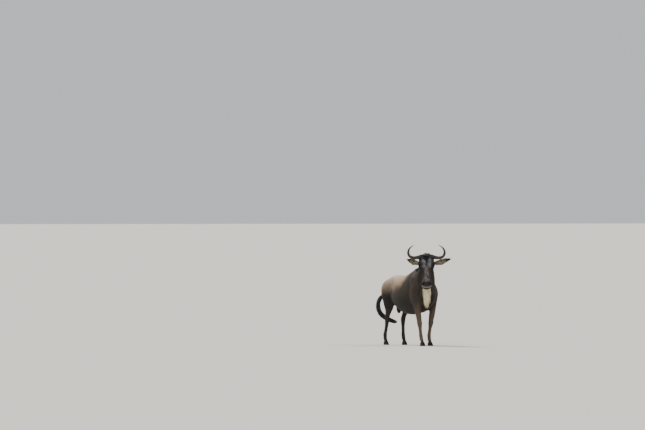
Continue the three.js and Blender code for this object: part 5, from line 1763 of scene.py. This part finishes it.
class WILDEBEEST_OT_hair(bpy.types.Operator):
    """Hangs the mane, the beard, the forelock, the ears' fringe and the tail's hair"""
    bl_idname = "wildebeest.hair"
    bl_label = "Long hair"

    def execute(self, context):
        sizes = context.scene.wildebeest_sizes
        rng = np.random.default_rng(sizes.seed + 1)
        black = hair_material("coarse_black_mane_hair", 0.42, 0.1, 0.003)
        cream = hair_material("coarse_cream_beard_hair", 0.6, 0.2, 0.004)
        on_neck = int(sizes.mane_locks * MANE_ON_NECK)
        self.hang("mane", black, rng, (
            mane_paths(neck_section, on_neck, 0.12, 0.97, -0.075, (0.55, 0.85), rng),
            mane_paths(trunk_section, sizes.mane_locks - on_neck, 0.235, 0.46, 0.035, (0.44, 0.02), rng)))
        throat, breast, chin = (int(sizes.beard_locks * share) for share in BEARD_SHARES)
        self.hang("beard", cream, rng, (
            beard_paths(throat, sizes.beard_length, rng),
            breast_paths(breast, sizes.beard_length * 0.92, rng),
            chin_paths(chin, 0.105, rng)))
        self.hang("forelock", black, rng, (forelock_paths(FORELOCK_LOCKS, sizes.forelock_length, rng),))
        self.hang("ear_fringe", cream, rng, [
            ear_fringe_paths(side, FRINGE_LOCKS, 0.042, rng) for side in EARS])
        hair = self.hang("tail_hair", black, rng, (tail_paths(sizes.tail_locks, rng),))
        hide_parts("tail_switch_upper", "tail_switch_lower")
        return {"FINISHED"}

    def hang(self, name, material, rng, groups):
        """One piece of long hair, from groups of paths and of the locks' thin ways."""
        size, hues, slot = LONG_HAIR[name]
        paths, flat = (np.concatenate(group) for group in zip(*groups))
        count = len(paths)
        width = size[0] * rng.uniform(0.55, 1.25, count)
        thickness = size[1] * rng.uniform(0.7, 1.3, count)
        tone = varied((1, 1, 1), count, rng, 0.3)
        colours = bpy.context.scene.wildebeest_colours
        shades = [np.asarray(getattr(colours, hue))[None] * tone for hue in hues]
        flat = unit(flat + 0.35 * rng.normal(size=flat.shape))
        return finish_piece(name, locks(name, paths, flat, width, thickness, shades), material)


class WILDEBEEST_OT_eyes(bpy.types.Operator):
    """Sets both eyeballs in their openings and rims them with their lids"""
    bl_idname = "wildebeest.eyes"
    bl_label = "Eyes"

    def execute(self, context):
        colours = context.scene.wildebeest_colours
        wet = eye_material()
        rng = np.random.default_rng(context.scene.wildebeest_sizes.seed + 2)
        lids = []
        for side in SIDES:
            points, triangles, pupil, iris, ring = eye_shape(side)
            mesh = mesh_from(f"eyeball_{side}", points, triangles)
            tone = mixed(colours.white, colours.iris, iris)
            tone = mixed(tone, colours.mouth, np.clip(pupil + 0.7 * ring, 0, 1))
            paint(mesh, tone)
            finish_piece(f"eyeball_{side}", mesh, wet, (f"eye_{side}",))
            lids.append(lid_shape(side))
        points, triangles = combined(lids)
        mesh = mesh_from("eyelids", points, triangles)
        write_vectors(mesh, "grain", points)
        paint(mesh, np.broadcast_to(colours.mouth, points.shape))
        finish_piece("eyelids", mesh, keratin_material("bare_dark_lid_skin", 0.5, 0.003))
        lashes = [lash_paths(side, LASHES, rng) for side in SIDES]
        paths, out = (np.concatenate(group) for group in zip(*lashes))
        black = varied(colours.mane, len(paths), rng)
        mesh = locks("eyelashes", paths, out, np.full(len(paths), 0.0008), np.full(len(paths), 0.0006),
                     (black, black))
        finish_piece("eyelashes", mesh, hair_material("stiff_black_lash_hair", 0.4, 0.1, 0.002))
        return {"FINISHED"}


class WILDEBEEST_OT_horns(bpy.types.Operator):
    """Sets both horns, ridged at the base and smooth at the tip"""
    bl_idname = "wildebeest.horns"
    bl_label = "Horns"

    def execute(self, context):
        colours = context.scene.wildebeest_colours
        keratin = keratin_material("weathered_horn_keratin", 0.40, 0.0022)
        for side, sign in SIDES.items():
            points, triangles, t, grain = horn_shape(sign)
            mesh = mesh_from(f"horn_sheath_{side}", points, triangles)
            write_vectors(mesh, "grain", grain)
            worn = hump(t, 0.42, 0.20) * (0.4 + 0.6 * value_noise(points, 0.03, 21))
            tone = mixed(colours.horn, colours.horn_worn, worn)
            tone = mixed(tone, colours.mouth, 0.7 * step_between(0.80, 1.0, t))
            paint(mesh, tone)
            finish_piece(f"horn_sheath_{side}", mesh, keratin, (f"horn_{side}",))
        return {"FINISHED"}


class WILDEBEEST_OT_hooves(bpy.types.Operator):
    """Sets the eight claws of the hooves and the dewclaws behind them"""
    bl_idname = "wildebeest.hooves"
    bl_label = "Hooves"

    def execute(self, context):
        colours = context.scene.wildebeest_colours
        keratin = keratin_material("dusty_hoof_keratin", 0.55, 0.0018)
        for name, (side, rows) in LEGS.items():
            leg = name.replace("leg", "")
            near = curve_through(rows, 15 / 17)
            tilt = np.array((LEFT, unit(FRONT - 0.6 * UP), unit(UP + 0.6 * FRONT)))
            dewclaws = [ellipsoid(np.array((side * near[1] + spread * 0.012, near[2] + 0.024, 0.112)),
                                  tilt, np.array((0.0075, 0.0080, 0.0190)), 16, 20) for spread in (-1, 1)]
            claws = [claw_shape(side, rows, spread) for spread in (-1, 1)]
            points, triangles = combined(claws + dewclaws)
            mesh = mesh_from(f"hooves_{leg}", points, triangles)
            write_vectors(mesh, "grain", points * (1, 1, 0.12))
            dust = 0.5 + 0.9 * (1 - step_between(0.0, 0.05, points[:, 2])) * value_noise(points, 0.012, 31)
            paint(mesh, np.asarray(colours.hoof)[None] * (0.8 + 0.7 * dust[:, None]))
            finish_piece(f"hooves_{leg}", mesh, keratin,
                         (f"hoof_{leg}_left_claw", f"hoof_{leg}_right_claw"))
        return {"FINISHED"}


OPERATORS = (WILDEBEEST_OT_stage, WILDEBEEST_OT_skin, WILDEBEEST_OT_coat, WILDEBEEST_OT_hair,
             WILDEBEEST_OT_eyes, WILDEBEEST_OT_horns, WILDEBEEST_OT_hooves)


class WILDEBEEST_PT_panel(bpy.types.Panel):
    """Lists the animal's pieces with their sizes and colours"""
    bl_idname = "WILDEBEEST_PT_panel"
    bl_label = "Wildebeest"
    bl_space_type = "VIEW_3D"
    bl_region_type = "UI"
    bl_category = "Wildebeest"

    def draw(self, context):
        for operator in OPERATORS:
            self.layout.operator(operator.bl_idname)
        for group in (context.scene.wildebeest_sizes, context.scene.wildebeest_colours,
                      context.scene.wildebeest_stage):
            for name in group.__annotations__:
                self.layout.prop(group, name)


GROUPS = {"wildebeest_colours": WildebeestColours, "wildebeest_sizes": WildebeestSizes,
          "wildebeest_stage": WildebeestStage}


def register():
    for one in (*GROUPS.values(), *OPERATORS, WILDEBEEST_PT_panel):
        bpy.utils.register_class(one)
    for name, group in GROUPS.items():
        setattr(bpy.types.Scene, name, PointerProperty(type=group))


def unregister():
    for name in GROUPS:
        delattr(bpy.types.Scene, name)
    for one in (WILDEBEEST_PT_panel, *OPERATORS, *GROUPS.values()):
        bpy.utils.unregister_class(one)


def main():
    """Builds every piece in order."""
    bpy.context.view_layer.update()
    register()
    bpy.ops.wildebeest.stage()
    bpy.ops.wildebeest.skin()
    bpy.ops.wildebeest.coat()
    bpy.ops.wildebeest.hair()
    bpy.ops.wildebeest.eyes()
    bpy.ops.wildebeest.horns()
    bpy.ops.wildebeest.hooves()


if __name__ == "__main__":
    main()
